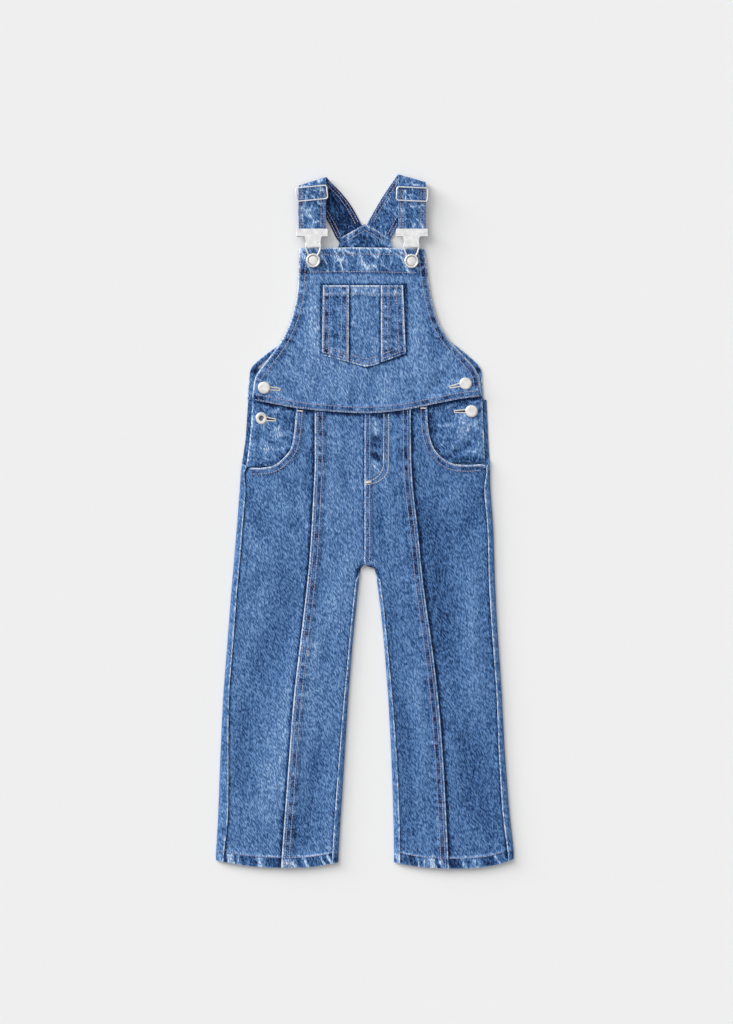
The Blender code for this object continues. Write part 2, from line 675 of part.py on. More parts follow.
def buckle(side):
    """Plate and neck, two lugs and the strap's bar, and the wire loop round the button."""
    centre_x, button_y = BIB_BUTTONS[side]
    strap_x = STRAPS[side][0]
    half, neck = PLATE["width"] / 2, NECK["width"] / 2
    cut = PLATE["corner"]
    high, low, foot = PLATE["top"], PLATE["foot"], NECK["foot"]
    outline = [
        (strap_x - half + cut, high), (strap_x - half, high - cut),
        (strap_x - half, low + cut), (strap_x - half + cut, low),
        (centre_x - neck, low), (centre_x - neck, foot + cut), (centre_x - neck + cut, foot),
        (centre_x + neck - cut, foot), (centre_x + neck, foot + cut), (centre_x + neck, low),
        (strap_x + half - cut, low), (strap_x + half, low + cut),
        (strap_x + half, high - cut), (strap_x + half - cut, high),
    ]
    top = PLATE_Z + PLATE["thickness"]
    made = add_object("buckle_" + side, prism_mesh("buckle_" + side, outline, PLATE_Z, top),
                      "steel", 1.0, 0.3)
    reach = half - LUG / 2
    bar_path = [(strap_x - reach, BAR_Y, PLATE_Z + 0.7), (strap_x - reach, BAR_Y, BAR_Z),
                (strap_x + reach, BAR_Y, BAR_Z), (strap_x + reach, BAR_Y, PLATE_Z + 0.7)]
    bar = hidden_cutter("bar_" + side, tube_mesh("bar_" + side, bar_path, LUG / 2, 8))
    boolean(made, bar, "UNION")
    loop_z = FRONT_TOP + SEAM_GAP + 2.2
    loop = 4.6
    wire_path = [(centre_x - 8.2, foot + 4.0, PLATE_Z + 0.6), (centre_x - 8.6, foot, PLATE_Z + 0.2),
                 (centre_x - 5.8, button_y + 8.6, loop_z)]
    for angle in np.linspace(160.0, 380.0, 9):
        turn = math.radians(angle)
        wire_path.append((centre_x + loop * math.cos(turn), button_y + loop * math.sin(turn), loop_z))
    wire_path += [(centre_x + 5.8, button_y + 8.6, loop_z), (centre_x + 8.6, foot, PLATE_Z + 0.2),
                  (centre_x + 8.2, foot + 4.0, PLATE_Z + 0.6)]
    wire = hidden_cutter("wire_" + side, tube_mesh("wire_" + side, wire_path, WIRE_RADIUS, 6))
    boolean(made, wire, "UNION")
    return made


def slider(side):
    """Wire frame across the top of the strap, with its bar under the strap."""
    x, y, tilt = SLIDERS[side]
    tilt = math.radians(tilt)
    fold = STRAPS[side][1]
    on_strap = front_strap_height(y, fold) + STRAP / 2 + SEAM_GAP + WIRE_RADIUS + 0.35
    under_strap = front_strap_height(y, fold) - STRAP / 2 - SEAM_GAP - WIRE_RADIUS - 0.1
    half_w, half_h = SLIDER_WIDTH / 2, SLIDER_HEIGHT / 2

    def placed(u, v, z):
        return (x + u * math.cos(tilt) - v * math.sin(tilt), y + u * math.sin(tilt) + v * math.cos(tilt), z)

    frame_path = []
    for corner_u, corner_v, start in ((1, 1, 0), (-1, 1, 90), (-1, -1, 180), (1, -1, 270)):
        for angle in (0.0, 45.0, 90.0):
            turn = math.radians(start + angle)
            u = corner_u * (half_w - SLIDER_CORNER) + SLIDER_CORNER * math.cos(turn)
            v = corner_v * (half_h - SLIDER_CORNER) + SLIDER_CORNER * math.sin(turn)
            frame_path.append(placed(u, v, on_strap))
    mesh = tube_mesh("slider_" + side, frame_path, WIRE_RADIUS, 6, closed=True)
    made = add_object("slider_" + side, mesh, "steel", 1.0, 0.3)
    bar_path = [placed(-half_w, 0.0, on_strap), placed(-half_w, 0.0, under_strap),
                placed(half_w, 0.0, under_strap), placed(half_w, 0.0, on_strap)]
    bar = hidden_cutter("slider_bar_" + side,
                        tube_mesh("slider_bar_" + side, bar_path, WIRE_RADIUS * 0.8, 6))
    boolean(made, bar, "UNION")
    return made


def bib_button(side):
    """Tack button: a shank on the bib and a domed head with a sunk middle."""
    base = FRONT_TOP + SEAM_GAP
    rim = BIB_BUTTON_RADIUS
    profile = ((0.0, base), (4.4, base), (3.2, base + 0.6), (3.0, base + 3.4), (rim - 1.0, base + 3.5),
               (rim, base + 4.3), (rim - 1.1, base + 5.4), (rim - 2.6, base + 5.5),
               (rim - 3.2, base + 5.0), (0.0, base + 5.2))
    return turned("bib_button_" + side, BIB_BUTTONS[side], profile, 20)


def side_button(name, panel_top):
    """Plain jeans button: its foot on the back's button stand, its head on the front."""
    foot = BACK_TOP + SEAM_GAP
    head = panel_top + SEAM_GAP
    rim = SIDE_BUTTON_RADIUS
    profile = ((0.0, foot), (2.2, foot), (2.2, head), (rim - 0.7, head + 0.1), (rim, head + 0.9),
               (rim - 1.0, head + 2.0), (rim - 2.6, head + 2.3), (0.0, head + 2.1))
    return turned("side_button_" + name, SIDE_BUTTONS[name], profile, 16)


def shank_hole(target, centre):
    """A round hole for a button's shank."""
    outline = []
    for k in range(12):
        angle = 2 * math.pi * k / 12
        outline.append((centre[0] + SHANK_HOLE * math.cos(angle), centre[1] + SHANK_HOLE * math.sin(angle)))
    name = "hole_%d_%d" % (round(centre[0]), round(centre[1]))
    cutter = hidden_cutter(name, prism_mesh(name, outline, BACK_TOP, POCKET_TOP))
    boolean(target, cutter, "DIFFERENCE")


def main():
    for old in list(bpy.data.objects):
        bpy.data.objects.remove(old, do_unlink=True)
    bib_front()
    back_bib()
    back_facing()
    pocket_panels()
    for side in ("l", "r"):
        front_centre(side)
        front_side(side)
        hip_panel(side)
        back_leg(side)
        strap(side)
        buckle(side)
        slider(side)
        bib_button(side)
        side_button("top_" + side, FRONT_TOP)
        side_button("low_" + side, hip_height(*SIDE_BUTTONS["low_" + side]))


main()
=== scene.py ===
"""The looks of kids' denim dungarees that lie flat on their back.

Each panel of cloth is made again as a fine shell between the sides of its CAD
node, with the laps, puckers, hems and creases that sewing and washing leave.
Sizes are in millimetres in the row's frame; to_mesh turns them into metres.
"""
import json
import math
from collections import namedtuple
from functools import lru_cache
from types import SimpleNamespace

import bpy
import numpy as np
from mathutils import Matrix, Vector
from mathutils.bvhtree import BVHTree

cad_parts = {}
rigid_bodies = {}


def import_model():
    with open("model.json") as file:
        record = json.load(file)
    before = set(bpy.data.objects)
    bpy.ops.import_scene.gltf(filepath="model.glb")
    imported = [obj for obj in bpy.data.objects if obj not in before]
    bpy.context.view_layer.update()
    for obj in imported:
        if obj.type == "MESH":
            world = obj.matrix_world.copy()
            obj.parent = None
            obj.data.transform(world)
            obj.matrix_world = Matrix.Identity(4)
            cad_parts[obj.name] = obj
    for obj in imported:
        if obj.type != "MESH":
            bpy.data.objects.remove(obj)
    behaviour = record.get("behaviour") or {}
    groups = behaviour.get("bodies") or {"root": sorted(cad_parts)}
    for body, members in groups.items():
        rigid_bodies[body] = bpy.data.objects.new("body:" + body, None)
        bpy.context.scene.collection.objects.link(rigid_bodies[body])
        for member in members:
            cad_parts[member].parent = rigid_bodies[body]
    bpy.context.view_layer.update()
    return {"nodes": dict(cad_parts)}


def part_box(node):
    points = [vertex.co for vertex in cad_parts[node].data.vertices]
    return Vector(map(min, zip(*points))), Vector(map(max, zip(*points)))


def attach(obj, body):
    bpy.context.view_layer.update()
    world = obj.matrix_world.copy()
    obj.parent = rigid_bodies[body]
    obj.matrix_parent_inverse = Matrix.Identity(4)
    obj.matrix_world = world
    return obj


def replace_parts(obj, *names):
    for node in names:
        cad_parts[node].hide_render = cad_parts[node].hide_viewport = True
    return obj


for old in list(bpy.data.objects):
    bpy.data.objects.remove(old, do_unlink=True)
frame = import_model()

MM = 0.001
WALL = 1.1               # thickness of a panel's shell
STEP = 2.1               # between a panel's points, away from its edges
EDGE_STEPS = (0.0, 0.12, 0.32, 0.65, 1.1, 1.7, 2.4, 3.2, 4.2, 5.4, 6.6, 7.8, 9.0, 10.2, 11.8, 13.8)
EDGE_ROLL = 0.55         # radius of a folded edge
LAP = 1.0                # reach of a folded edge over its neighbour
LAP_RISE = 1.25          # of a felled seam's layers
SEAM = 10.2              # width of a felled seam
ROWS = (3.7, 8.9)        # stitch rows from the seam's edge
HEM = 12.5               # depth of the legs' hems
STITCH = 3.0             # pitch of the stitches
THREAD = 0.46            # radius of the thread
DOWN = Vector((0.0, 0.0, -1.0))
INWARD = {"left": 1.0, "right": -1.0, "top": -1.0, "foot": 1.0}
OUTER = {"l": "left", "r": "right"}    # side of a panel that is away from the middle
INNER = {"l": "right", "r": "left"}

# Each sewn piece: the seed of its random draws, the number that shifts its weave, and how
# much lighter than the rest it is, or darker below 0
Piece = namedtuple("Piece", "seed weave tone")
PIECES = {
    "front_centre_l": Piece(11, 1, 0.0), "front_centre_r": Piece(23, 2, -0.13),
    "front_side_l": Piece(31, 3, -0.06), "front_side_r": Piece(43, 4, -0.22),
    "hip_panel_l": Piece(51, 5, 0.13), "hip_panel_r": Piece(57, 6, 0.04),
    "back_leg_l": Piece(61, 7, 0.0), "back_leg_r": Piece(67, 8, 0.0),
    "bib_front": Piece(81, 9, 0.11), "pocket_centre": Piece(110, 11, 0.06),
    "pocket_side_l": Piece(100, 10, -0.08), "pocket_side_r": Piece(120, 12, -0.08),
    "back_bib": Piece(111, 13, 0.0), "back_facing": Piece(117, 14, -0.12),
    "strap_l": Piece(131, 15, 0.0), "strap_r": Piece(137, 16, 0.0),
}


# ---------------------------------------------------------------- fields and lines

def clamp(value):
    return np.clip(value, 0.0, 1.0)


def smooth(value):
    """From 0 to 1 with no corner at either end."""
    value = clamp(value)
    return value * value * (3 - 2 * value)


def hump(distance, width):
    """A soft bump, 1 in its middle and near 0 beyond its width."""
    return np.exp(-(distance / width) ** 2)


def band(distance, width, fade):
    """1 up to a width, and 0 from a fade past it."""
    return 1.0 - smooth((distance - width) / fade)


def field(x, y, cell, seed):
    """A smooth random field from -1 to 1 with one value a cell."""
    table = np.random.default_rng(seed).uniform(-1.0, 1.0, (64, 64))
    i, j = np.floor(x / cell).astype(int), np.floor(y / cell).astype(int)
    u, v = smooth(x / cell - i), smooth(y / cell - j)
    low = table[i % 64, j % 64] * (1 - u) + table[(i + 1) % 64, j % 64] * u
    high = table[i % 64, (j + 1) % 64] * (1 - u) + table[(i + 1) % 64, (j + 1) % 64] * u
    return low * (1 - v) + high * v


def ripple(run, period, seed):
    """Uneven waves along a line, about one a period."""
    return field(run, run * 0.0 + seed * 7.3, period / 2, seed)


VEIN_LAYERS = ((0, 1.0, 1.0), (34, 0.85, 0.85), (-28, 0.7, 0.6))   # turn in degrees, size, height
VEIN_SHARPNESS = 5.6


def veins(x, y, angle, long, short, seed):
    """Branching crinkles that run along an angle, 1 on their crests."""
    crest = np.zeros(x.shape)
    for turn, size, height in VEIN_LAYERS:
        way = math.radians(angle + turn)
        u = x * math.cos(way) + y * math.sin(way)
        v = y * math.cos(way) - x * math.sin(way)
        v = v + 0.35 * short * field(u, v, long * 0.7, seed + 1)
        waves = np.abs(field(u / long / size, v / short / size, 1.0, seed + turn))
        crest = np.maximum(crest, height * (1.0 - clamp(waves * VEIN_SHARPNESS)))
    return crest


def run_of(line):
    """Distance along a line at each of its points."""
    return np.concatenate(([0.0], np.cumsum(np.linalg.norm(np.diff(line, axis=0), axis=1))))


def through(points, spacing, sharp=False):
    """Even points along a smooth curve through the given ones, or along straight runs."""
    points = np.array(points, float)
    run = run_of(points)
    want = np.linspace(0.0, run[-1], max(int(run[-1] / spacing), 2) + 1)
    if sharp or len(points) < 3:
        return np.stack([np.interp(want, run, column) for column in points.T], axis=1)
    slope = np.gradient(points, run, axis=0)
    i = np.clip(np.searchsorted(run, want, side="right") - 1, 0, len(run) - 2)
    span = (run[i + 1] - run[i])[:, None]
    t = (want - run[i])[:, None] / span
    return ((2 * t ** 3 - 3 * t ** 2 + 1) * points[i] + (t ** 3 - 2 * t ** 2 + t) * span * slope[i]
            + (3 * t ** 2 - 2 * t ** 3) * points[i + 1] + (t ** 3 - t ** 2) * span * slope[i + 1])


def at_shares(line, shares):
    run = run_of(line)
    return np.stack([np.interp(shares * run[-1], run, column) for column in line.T], axis=1)


def nearest(x, y, line):
    """Distance of each point from a line, and how far along the line it is nearest."""
    best = np.full(x.shape, np.inf)
    along = np.zeros(x.shape)
    run = run_of(line)
    for k in range(len(line) - 1):
        (ax, ay), (dx, dy) = line[k], line[k + 1] - line[k]
        t = clamp(((x - ax) * dx + (y - ay) * dy) / (dx * dx + dy * dy))
        away = np.hypot(x - ax - t * dx, y - ay - t * dy)
        nearer = away < best
        best[nearer] = away[nearer]
        along[nearer] = (run[k] + t * (run[k + 1] - run[k]))[nearer]
    return best, along


def beside(line, distance):
    """A line moved sideways; a positive distance is to the left of its direction."""
    way = np.gradient(line, axis=0)
    way /= np.linalg.norm(way, axis=1)[:, None]
    return line + np.stack([-way[:, 1], way[:, 0]], axis=1) * distance


def part_of(line, start, end):
    """The stretch of a line between two distances along it; an end of 0 or less counts back."""
    run = run_of(line)
    end = run[-1] + end if end <= 0 else end
    return at_shares(line, np.linspace(start, end, max(int((end - start) / 4), 2)) / run[-1])


# ---------------------------------------------------------------- panels from the frame

UPWARD = 0.1             # least upward lean of an upper face's normal
SHARP_SIDES = {"back_bib": "top", "back_facing": "top", "pocket_side_l": "foot",
               "pocket_centre": "foot", "pocket_side_r": "foot"}
LINE_STEP = 2.0          # between the points of a panel's sides
EDGE_SHARE = 0.42        # most of a width that the close steps of one edge take up
SOFTENINGS = 6


def border_loops(directed):
    """Closed loops of the edges that only one face has."""
    follows = {}
    for a, b in directed:
        if (b, a) not in directed:
            follows.setdefault(a, []).append(b)
    loops = []
    while follows:
        path = [next(iter(follows))]
        while path[-1] in follows:
            at = path[-1]
            path.append(follows[at].pop())
            if not follows[at]:
                del follows[at]
            if path[-1] in path[:-1]:
                start = path.index(path[-1])
                loops.append(path[start:-1])
                path = path[:start + 1]
    return loops


@lru_cache(maxsize=None)
def panel_sides(node):
    """The sides of a panel's upper face: left and right run down, top and foot to the right."""
    mesh = frame["nodes"][node].data
    names = {}
    key = [names.setdefault(tuple(round(c, 6) for c in v.co), len(names)) for v in mesh.vertices]
    spots = np.array(list(names))[:, :2] / MM
    directed = set()
    for face in mesh.polygons:
        if face.normal.z > UPWARD:
            ring = [key[v] for v in face.vertices]
            directed.update(zip(ring, ring[1:] + ring[:1]))
    loops = [spots[loop] for loop in border_loops(directed)]
    loop = max(loops, key=lambda points: np.ptp(points[:, 1]))
    loop = np.roll(loop, -int(np.argmax(loop[:, 1] - loop[:, 0])), axis=0)
    x, y = loop.T
    low_left, low_right, high_right = (int(np.argmax(v)) for v in (-x - y, x - y, x + y))
    sides = {
        "left": loop[:low_left + 1], "foot": loop[low_left:low_right + 1],
        "right": loop[low_right:high_right + 1][::-1],
        "top": np.vstack([loop[high_right:], loop[:1]])[::-1],
    }
    sharp = SHARP_SIDES.get(node)
    return {side: through(line, LINE_STEP, side == sharp) for side, line in sides.items()}


def edge_shares(width, step):
    """Shares across a width: close together near the edges, even between."""
    start = [d for d in EDGE_STEPS if d < width * EDGE_SHARE]
    end = [width - d for d in start]
    middle = np.linspace(start[-1], end[-1], max(int((end[-1] - start[-1]) / step), 1) + 1)
    return np.concatenate((start[:-1], middle, end[:-1][::-1])) / width


def soften(z):
    """Rounds a grid's facets, and leaves its edges."""
    for _ in range(SOFTENINGS):
        z[1:-1, :] = z[1:-1, :] * 0.5 + (z[:-2, :] + z[2:, :]) * 0.25
        z[:, 1:-1] = z[:, 1:-1] * 0.5 + (z[:, :-2] + z[:, 2:]) * 0.25
    return z


def cad_height(node, x, y):
    """Height of the node's upper face at each point."""
    mesh = frame["nodes"][node].data
    up = [list(face.vertices) for face in mesh.polygons if face.normal.z > UPWARD]
    tree = BVHTree.FromPolygons([v.co for v in mesh.vertices], up)
    z = np.empty(x.size)
    for k, (px, py) in enumerate(zip(x.ravel() * MM, y.ravel() * MM)):
        hit = tree.ray_cast(Vector((px, py, 1.0)), DOWN)[0] or tree.find_nearest((px, py, 0.0))[0]
        z[k] = hit.z / MM
    return z.reshape(x.shape)


def panel(node, laps=(), step=STEP):
    """A panel's fine grid with its heights, its distances from its sides and its first marks."""
    lines = dict(panel_sides(node))
    for side in laps:
        lines[side] = beside(lines[side], -INWARD[side] * LAP)
    length = {side: run_of(line)[-1] for side, line in lines.items()}
    across = edge_shares((length["top"] + length["foot"]) / 2, step)
    down = edge_shares((length["left"] + length["right"]) / 2, step)
    top, foot = (at_shares(lines[side], across)[None] for side in ("top", "foot"))
    left, right = (at_shares(lines[side], down)[:, None] for side in ("left", "right"))
    u, v = across[None, :, None], down[:, None, None]
    grid = (1 - v) * top + v * foot + (1 - u) * left + u * right
    grid -= (1 - u) * (1 - v) * top[:, :1] + u * (1 - v) * top[:, -1:]
    grid -= (1 - u) * v * foot[:, :1] + u * v * foot[:, -1:]
    x, y = grid[..., 0], grid[..., 1]
    near = {side: nearest(x, y, line[::3] if len(line) > 12 else line)
            for side, line in lines.items()}
    seed, _, tone = PIECES[node]
    return SimpleNamespace(
        node=node, seed=seed, lines=lines, x=x, y=y, z=soften(cad_height(node, x, y)),
        wear=np.full(x.shape, max(tone, 0.0)), shade=np.full(x.shape, max(-tone, 0.0)),
        wrong=np.zeros(x.shape), away={side: pair[0] for side, pair in near.items()},
        run={side: pair[1] for side, pair in near.items()})


# ---------------------------------------------------------------- what sewing and washing do

def bumps(made, side, rows, waves=0.0, share=1.0):
    """Adds forms along a side: each row is what it adds to, its amount, kind, middle and width.

    A band is level up to its middle and fades over its width. The other kinds are humps: even,
    or following the waves, their crests or their troughs."""
    away = made.away[side]
    kinds = {"even": 1.0, "waves": waves, "crests": clamp(waves), "troughs": clamp(-waves)}
    for mark, amount, kind, middle, width in rows:
        if kind == "band":
            form = band(away, middle, width)
        else:
            form = kinds[kind] * hump(away - middle, width)
        setattr(made, mark, getattr(made, mark) + share * amount * form)


def rolled(made, sides, share=1.0, drop=0.9):
    """Rounds the panel's folded edges."""
    for side in sides:
        rest = clamp(1.0 - made.away[side] / EDGE_ROLL) * share
        made.z -= drop * EDGE_ROLL * (1.0 - np.sqrt(1.0 - rest ** 2))


def seam_edge(made, side, seed, rise=LAP_RISE, width=SEAM, rows=ROWS, pucker=0.34, light=1.0,
              ends=()):
    """A folded, lapped and twice stitched edge: raised, puckered, worn along its fold, with painted
    shade in its stitch rows' grooves and painted shadow in the troughs beside the raised band.
    """
    away, run = made.away[side], made.run[side]
    clear = np.ones(away.shape)
    for other in ends:
        clear *= smooth((made.away[other] - 1.5) / 4.0)
    raised = band(away, width, 2.4)
    waves = ripple(run, 7.5, seed) + 0.7 * ripple(run + away * 0.4, 4.2, seed + 5)
    between = hump(away - sum(rows) / 2, (rows[1] - rows[0]) * 0.42)
    outside = hump(away - width - 2.6, 2.8)
    made.z += rise * raised * clear + pucker * waves * (between + 0.55 * outside)
    # Each stitch row's groove, with painted shade in it
    for row_away in rows:
        bumps(made, side, (("z", -0.24, "even", row_away, 0.75), ("shade", 0.3, "even", row_away, 0.9)))
    fold = hump(away - 0.35, 1.0) * (1.15 + 0.35 * ripple(run, 6.0, seed + 9))
    rim = 0.35 * hump(away - width, 1.0) * clamp(0.6 + waves)
    made.wear += light * (fold + 0.55 * between * clamp(waves) + rim)
    made.shade += (0.22 + 0.8 * clamp(0.12 - waves)) * between + 0.14 * raised
    # Painted shadow in the troughs just beyond the raised band
    made.shade += 0.55 * outside * clamp(0.35 - waves)


def under_edge(made, side, seed, reach=2.6):
    """The dark line beside a neighbour's folded edge on this panel, painted shadow over the dye that
    the lap kept dark, with its puckers.
    """
    rows = (("shade", 1.25, "even", LAP + 0.5, reach), ("z", 0.25, "waves", 4.5, 3.6),
            ("shade", 0.28, "troughs", 5.0, 3.2), ("wear", 0.28, "crests", 5.0, 3.2))
    bumps(made, side, rows, ripple(made.run[side], 9.5, seed))


ROPE_WEAR = 0.82
ROPE_SHADE = 0.66
# The hem's raised band and its stitch row's groove, with painted shade along the groove
HEM_BUMPS = (
    ("z", 0.9, "band", HEM + 0.4, 1.4), ("z", -0.25, "even", HEM, 0.9),
    ("wear", 0.5, "even", 0.0, 1.2), ("wear", 0.6, "even", HEM + 1.0, 0.9),
    ("shade", 0.4, "even", HEM - 0.9, 0.8),
)


def roping(run, above, seed):
    """The twisted folds that washing leaves in a hem: light bars to 1, dark squares to -1."""
    lean = run + above * 0.35
    bars = ripple(lean, 8.0, seed) + 0.5 * ripple(lean, 5.2, seed + 3)
    return np.clip(bars * 2.6 - 0.3, -1.0, 1.0) * smooth(above / 1.5 + 0.4) * band(above, 10.6, 2.0)


def hem(made, seed):
    """A turned hem with one stitch row, roped by washing."""
    away, run = made.away["foot"], made.run["foot"]
    bumps(made, "foot", HEM_BUMPS)
    bars = roping(run, away, seed)
    tucks = ripple(run + away * 0.8, 7.0, seed + 7) * hump(away - HEM - 6.0, 5.0)
    made.z += 0.5 * bars + 0.3 * tucks
    made.wear += ROPE_WEAR * clamp(bars) + 0.4 * clamp(tucks - 0.2)
    made.shade += ROPE_SHADE * clamp(-bars) + 0.35 * clamp(-tucks - 0.2)


# Crease marks: painted highlight on the ridges and painted shade in the troughs, partly the real fading
# of washed denim
CREASE_WEAR_AND_HIGHLIGHT = 0.26       # on a ridge 1 mm high
CREASE_SHADE = 0.32      # in a trough 1 mm deep


def creases(made, rows):
    """Soft ridges and troughs, from the start to the end of each row."""
    for x0, y0, x1, y1, width, height in rows:
        dx, dy = x1 - x0, y1 - y0
        long = math.hypot(dx, dy)
        t = ((made.x - x0) * dx + (made.y - y0) * dy) / long ** 2
        off = ((made.y - y0) * dx - (made.x - x0) * dy) / long
        off = off + width * 0.5 * field(t * 3.0, t * 0.0 + x0, 1.0, int(abs(x0 * 7 + y0)))
        form = hump(off, width) * smooth(clamp(t + 0.12) * 3.0) * smooth((1.12 - t) * 3.0)
        made.z += height * form
        # Painted highlight on the ridges and painted shade in the troughs, with the real fading of
        # washed denim
        made.wear += max(height, 0.0) * CREASE_WEAR_AND_HIGHLIGHT * form
        made.shade += max(-height, 0.0) * CREASE_SHADE * form


def loose(made, seed, amount=0.16):
    """The slight unevenness of washed cloth."""
    x, y = made.x, made.y
    made.z += amount * (field(x, y * 0.55, 13.0, seed) + 0.5 * field(x, y * 0.7, 5.2, seed + 1))
    made.wear += 0.05 * field(x, y * 0.5, 21.0, seed + 2)


Crinkle = namedtuple("Crinkle", "angle long short depth light dark")
CRINKLES = {
    "hip_panel_l": Crinkle(150, 24, 9, 0.4, 0.5, 0.5),
    "hip_panel_r": Crinkle(30, 24, 9, 0.4, 0.5, 0.5),
    "bib_front": Crinkle(118, 28, 9.5, 0.7, 0.8, 0.46),
    "back_facing": Crinkle(80, 20, 6, 0.3, 1.15, 0.6),
}


def crinkle(made, where, seed):
    """Sharp diagonal crinkles, light on their crests, where the cloth is thick."""
    form = CRINKLES[made.node]
    crest = veins(made.x, made.y, form.angle, form.long, form.short, seed)
    made.z += form.depth * (crest - 0.35) * where
    made.wear += form.light * smooth((crest - 0.35) * 1.6) * where
    made.shade += form.dark * smooth((0.3 - crest) * 3.3) * where


# ---------------------------------------------------------------- meshes

MOST_MARK = 1.3


def to_mesh(name, points, faces, slot, marks=None, weave=0):
    """A smooth mesh object in metres, with its marks of wear and painted highlight, of darker dye and
    painted shade, of the wrong side and of the piece.
    """
    mesh = bpy.data.meshes.new(name)
    mesh.from_pydata((np.asarray(points) * MM).tolist(), [], [list(face) for face in faces])
    mesh.shade_smooth()
    marks = {mark: np.clip(values, 0.0, MOST_MARK) for mark, values in (marks or {}).items()}
    marks["piece"] = weave
    for mark in ("wear", "shade", "wrong", "piece"):
        layer = mesh.attributes.new(mark, "FLOAT", "POINT")
        values = np.zeros(len(points)) + marks.get(mark, 0.0)
        layer.data.foreach_set("value", values.astype(np.float32))
    made = bpy.data.objects.new(name, mesh)
    bpy.context.scene.collection.objects.link(made)
    mesh.materials.append(MATERIALS[slot])
    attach(made, "root")
    return made


def grid_faces(rows, columns, start=0, flip=False):
    faces = []
    for r in range(rows - 1):
        for c in range(columns - 1):
            a = start + r * columns + c
            quad = (a, a + columns, a + columns + 1, a + 1)
            faces.append(quad[::-1] if flip else quad)
    return faces


def rim_faces(rows, columns):
    """Quads that join two grids of the same size round their border."""
    count = rows * columns
    ring = list(range(columns)) + list(range(2 * columns - 1, count, columns))
    ring += list(range(count - 2, count - columns - 1, -1))
    ring += list(range(count - 2 * columns, 0, -columns))
    return [(a, b, b + count, a + count) for a, b in zip(ring, ring[1:] + ring[:1])]


def cloth_piece(node, upper, lower, marks, slot):
    """A closed cloth between two grids of points that stands for its node."""
    rows, columns = upper.shape[:2]
    faces = grid_faces(rows, columns) + grid_faces(rows, columns, rows * columns, flip=True)
    faces += rim_faces(rows, columns)
    points = np.vstack([upper.reshape(-1, 3), lower.reshape(-1, 3)])
    marks = {mark: np.tile(np.ravel(values), 2) for mark, values in marks.items()}
    cloth = to_mesh(node + "_cloth", points, faces, slot, marks, PIECES[node].weave)
    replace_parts(cloth, node)
    return cloth


def shell(made, slot, floor=0.0):
    """The panel as a closed shell of even thickness on its grid."""
    upper, lower = (np.stack([made.x, made.y, z], axis=-1)
                    for z in (made.z, np.maximum(made.z - WALL, floor)))
    marks = {"wear": made.wear, "shade": made.shade, "wrong": made.wrong}
    return cloth_piece(made.node, upper, lower, marks, slot)


# ---------------------------------------------------------------- materials

def linear(*colour):
    """An 8-bit display colour as the shader's linear one."""
    parts = [c / 255 for c in colour]
    return tuple(c / 12.92 if c < 0.04045 else ((c + 0.055) / 1.055) ** 2.4 for c in parts) + (1.0,)


class Nodes:
    """Short ways to add nodes to a material's tree."""

    def __init__(self, name):
        self.material = bpy.data.materials.new(name)
        self.material.use_nodes = True
        self.tree = self.material.node_tree
        self.place = self.tree.nodes.new("ShaderNodeTexCoord").outputs["Object"]

    def feed(self, node, inputs):
        for socket, value in inputs.items():
            if isinstance(value, bpy.types.NodeSocket):
                self.tree.links.new(value, node.inputs[socket])
            else:
                node.inputs[socket].default_value = value

    def add(self, kind, inputs, **settings):
        node = self.tree.nodes.new("ShaderNode" + kind)
        for setting, value in settings.items():
            setattr(node, setting, value)
        self.feed(node, inputs)
        return node

    def math(self, operation, a, b=0.0, c=0.0):
        return self.add("Math", {0: a, 1: b, 2: c}, operation=operation).outputs[0]

    def mix(self, share, first, second):
        return self.add("Mix", {0: share, 6: first, 7: second}, data_type="RGBA").outputs[2]

    def stretched(self, across, along, angle=0.0):
        """Coordinates in units of a feature's size in mm, with its long side at an angle."""
        return self.add("Mapping", {"Vector": self.place,
                                    "Scale": (across * MM, along * MM, across * MM),
                                    "Rotation": (0.0, 0.0, math.radians(angle))},
                        vector_type="TEXTURE").outputs[0]

    def noise(self, across, along, angle=0.0, detail=2.0, roughness=0.5):
        return self.add("TexNoise", {"Vector": self.stretched(across, along, angle), "Scale": 1.0,
                                     "Detail": detail, "Roughness": roughness}).outputs["Fac"]

    def mark(self, name):
        return self.add("Attribute", {}, attribute_name=name).outputs["Fac"]

    def ridges(self, value, sharp):
        """Thin lines, 1 where the value passes its middle."""
        off = self.math("ABSOLUTE", self.math("SUBTRACT", value, 0.5))
        return self.math("MAXIMUM", self.math("MULTIPLY_ADD", off, -sharp, 1.0), 0.0)

    def weighted(self, start, *terms):
        """start plus each term's (value - middle) * weight."""
        total = start
        for value, middle, weight in terms:
            centred = self.math("SUBTRACT", value, middle)
            total = self.math("MULTIPLY_ADD", centred, weight, total)
        return total

    def ramp(self, value, *stops):
        node = self.add("ValToRGB", {"Fac": value})
        elements = node.color_ramp.elements
        while len(elements) < len(stops):
            elements.new(0.5)
        for element, (position, colour) in zip(elements, stops):
            element.position = position
            element.color = linear(*colour)
        return node.outputs["Color"]

    def finish(self, inputs, height=None, strength=0.0, distance=0.0):
        """The material, with its shader's inputs and a bump from a height, in metres."""
        shader = self.tree.nodes["Principled BSDF"]
        self.feed(shader, inputs)
        if height is not None:
            bump = self.add("Bump", {"Height": height, "Strength": strength, "Distance": distance})
            self.feed(shader, {"Normal": bump.outputs["Normal"]})
        return self.material


DENIM_STOPS = ((0.0, (12, 25, 58)), (0.22, (37, 71, 119)), (0.5, (78, 117, 169)),
               (0.74, (113, 151, 201)), (0.88, (158, 188, 222)), (1.0, (216, 227, 238)))
WRONG_STOPS = ((0.0, (120, 132, 152)), (0.5, (168, 178, 192)), (1.0, (208, 214, 222)))
SLUB_ANGLE = 25.0        # of the yarns' slubs from the warp
TWILL_PITCH = 0.8
GRAIN_TOP = 0.26         # how far slubs go from the plain colour, without wear


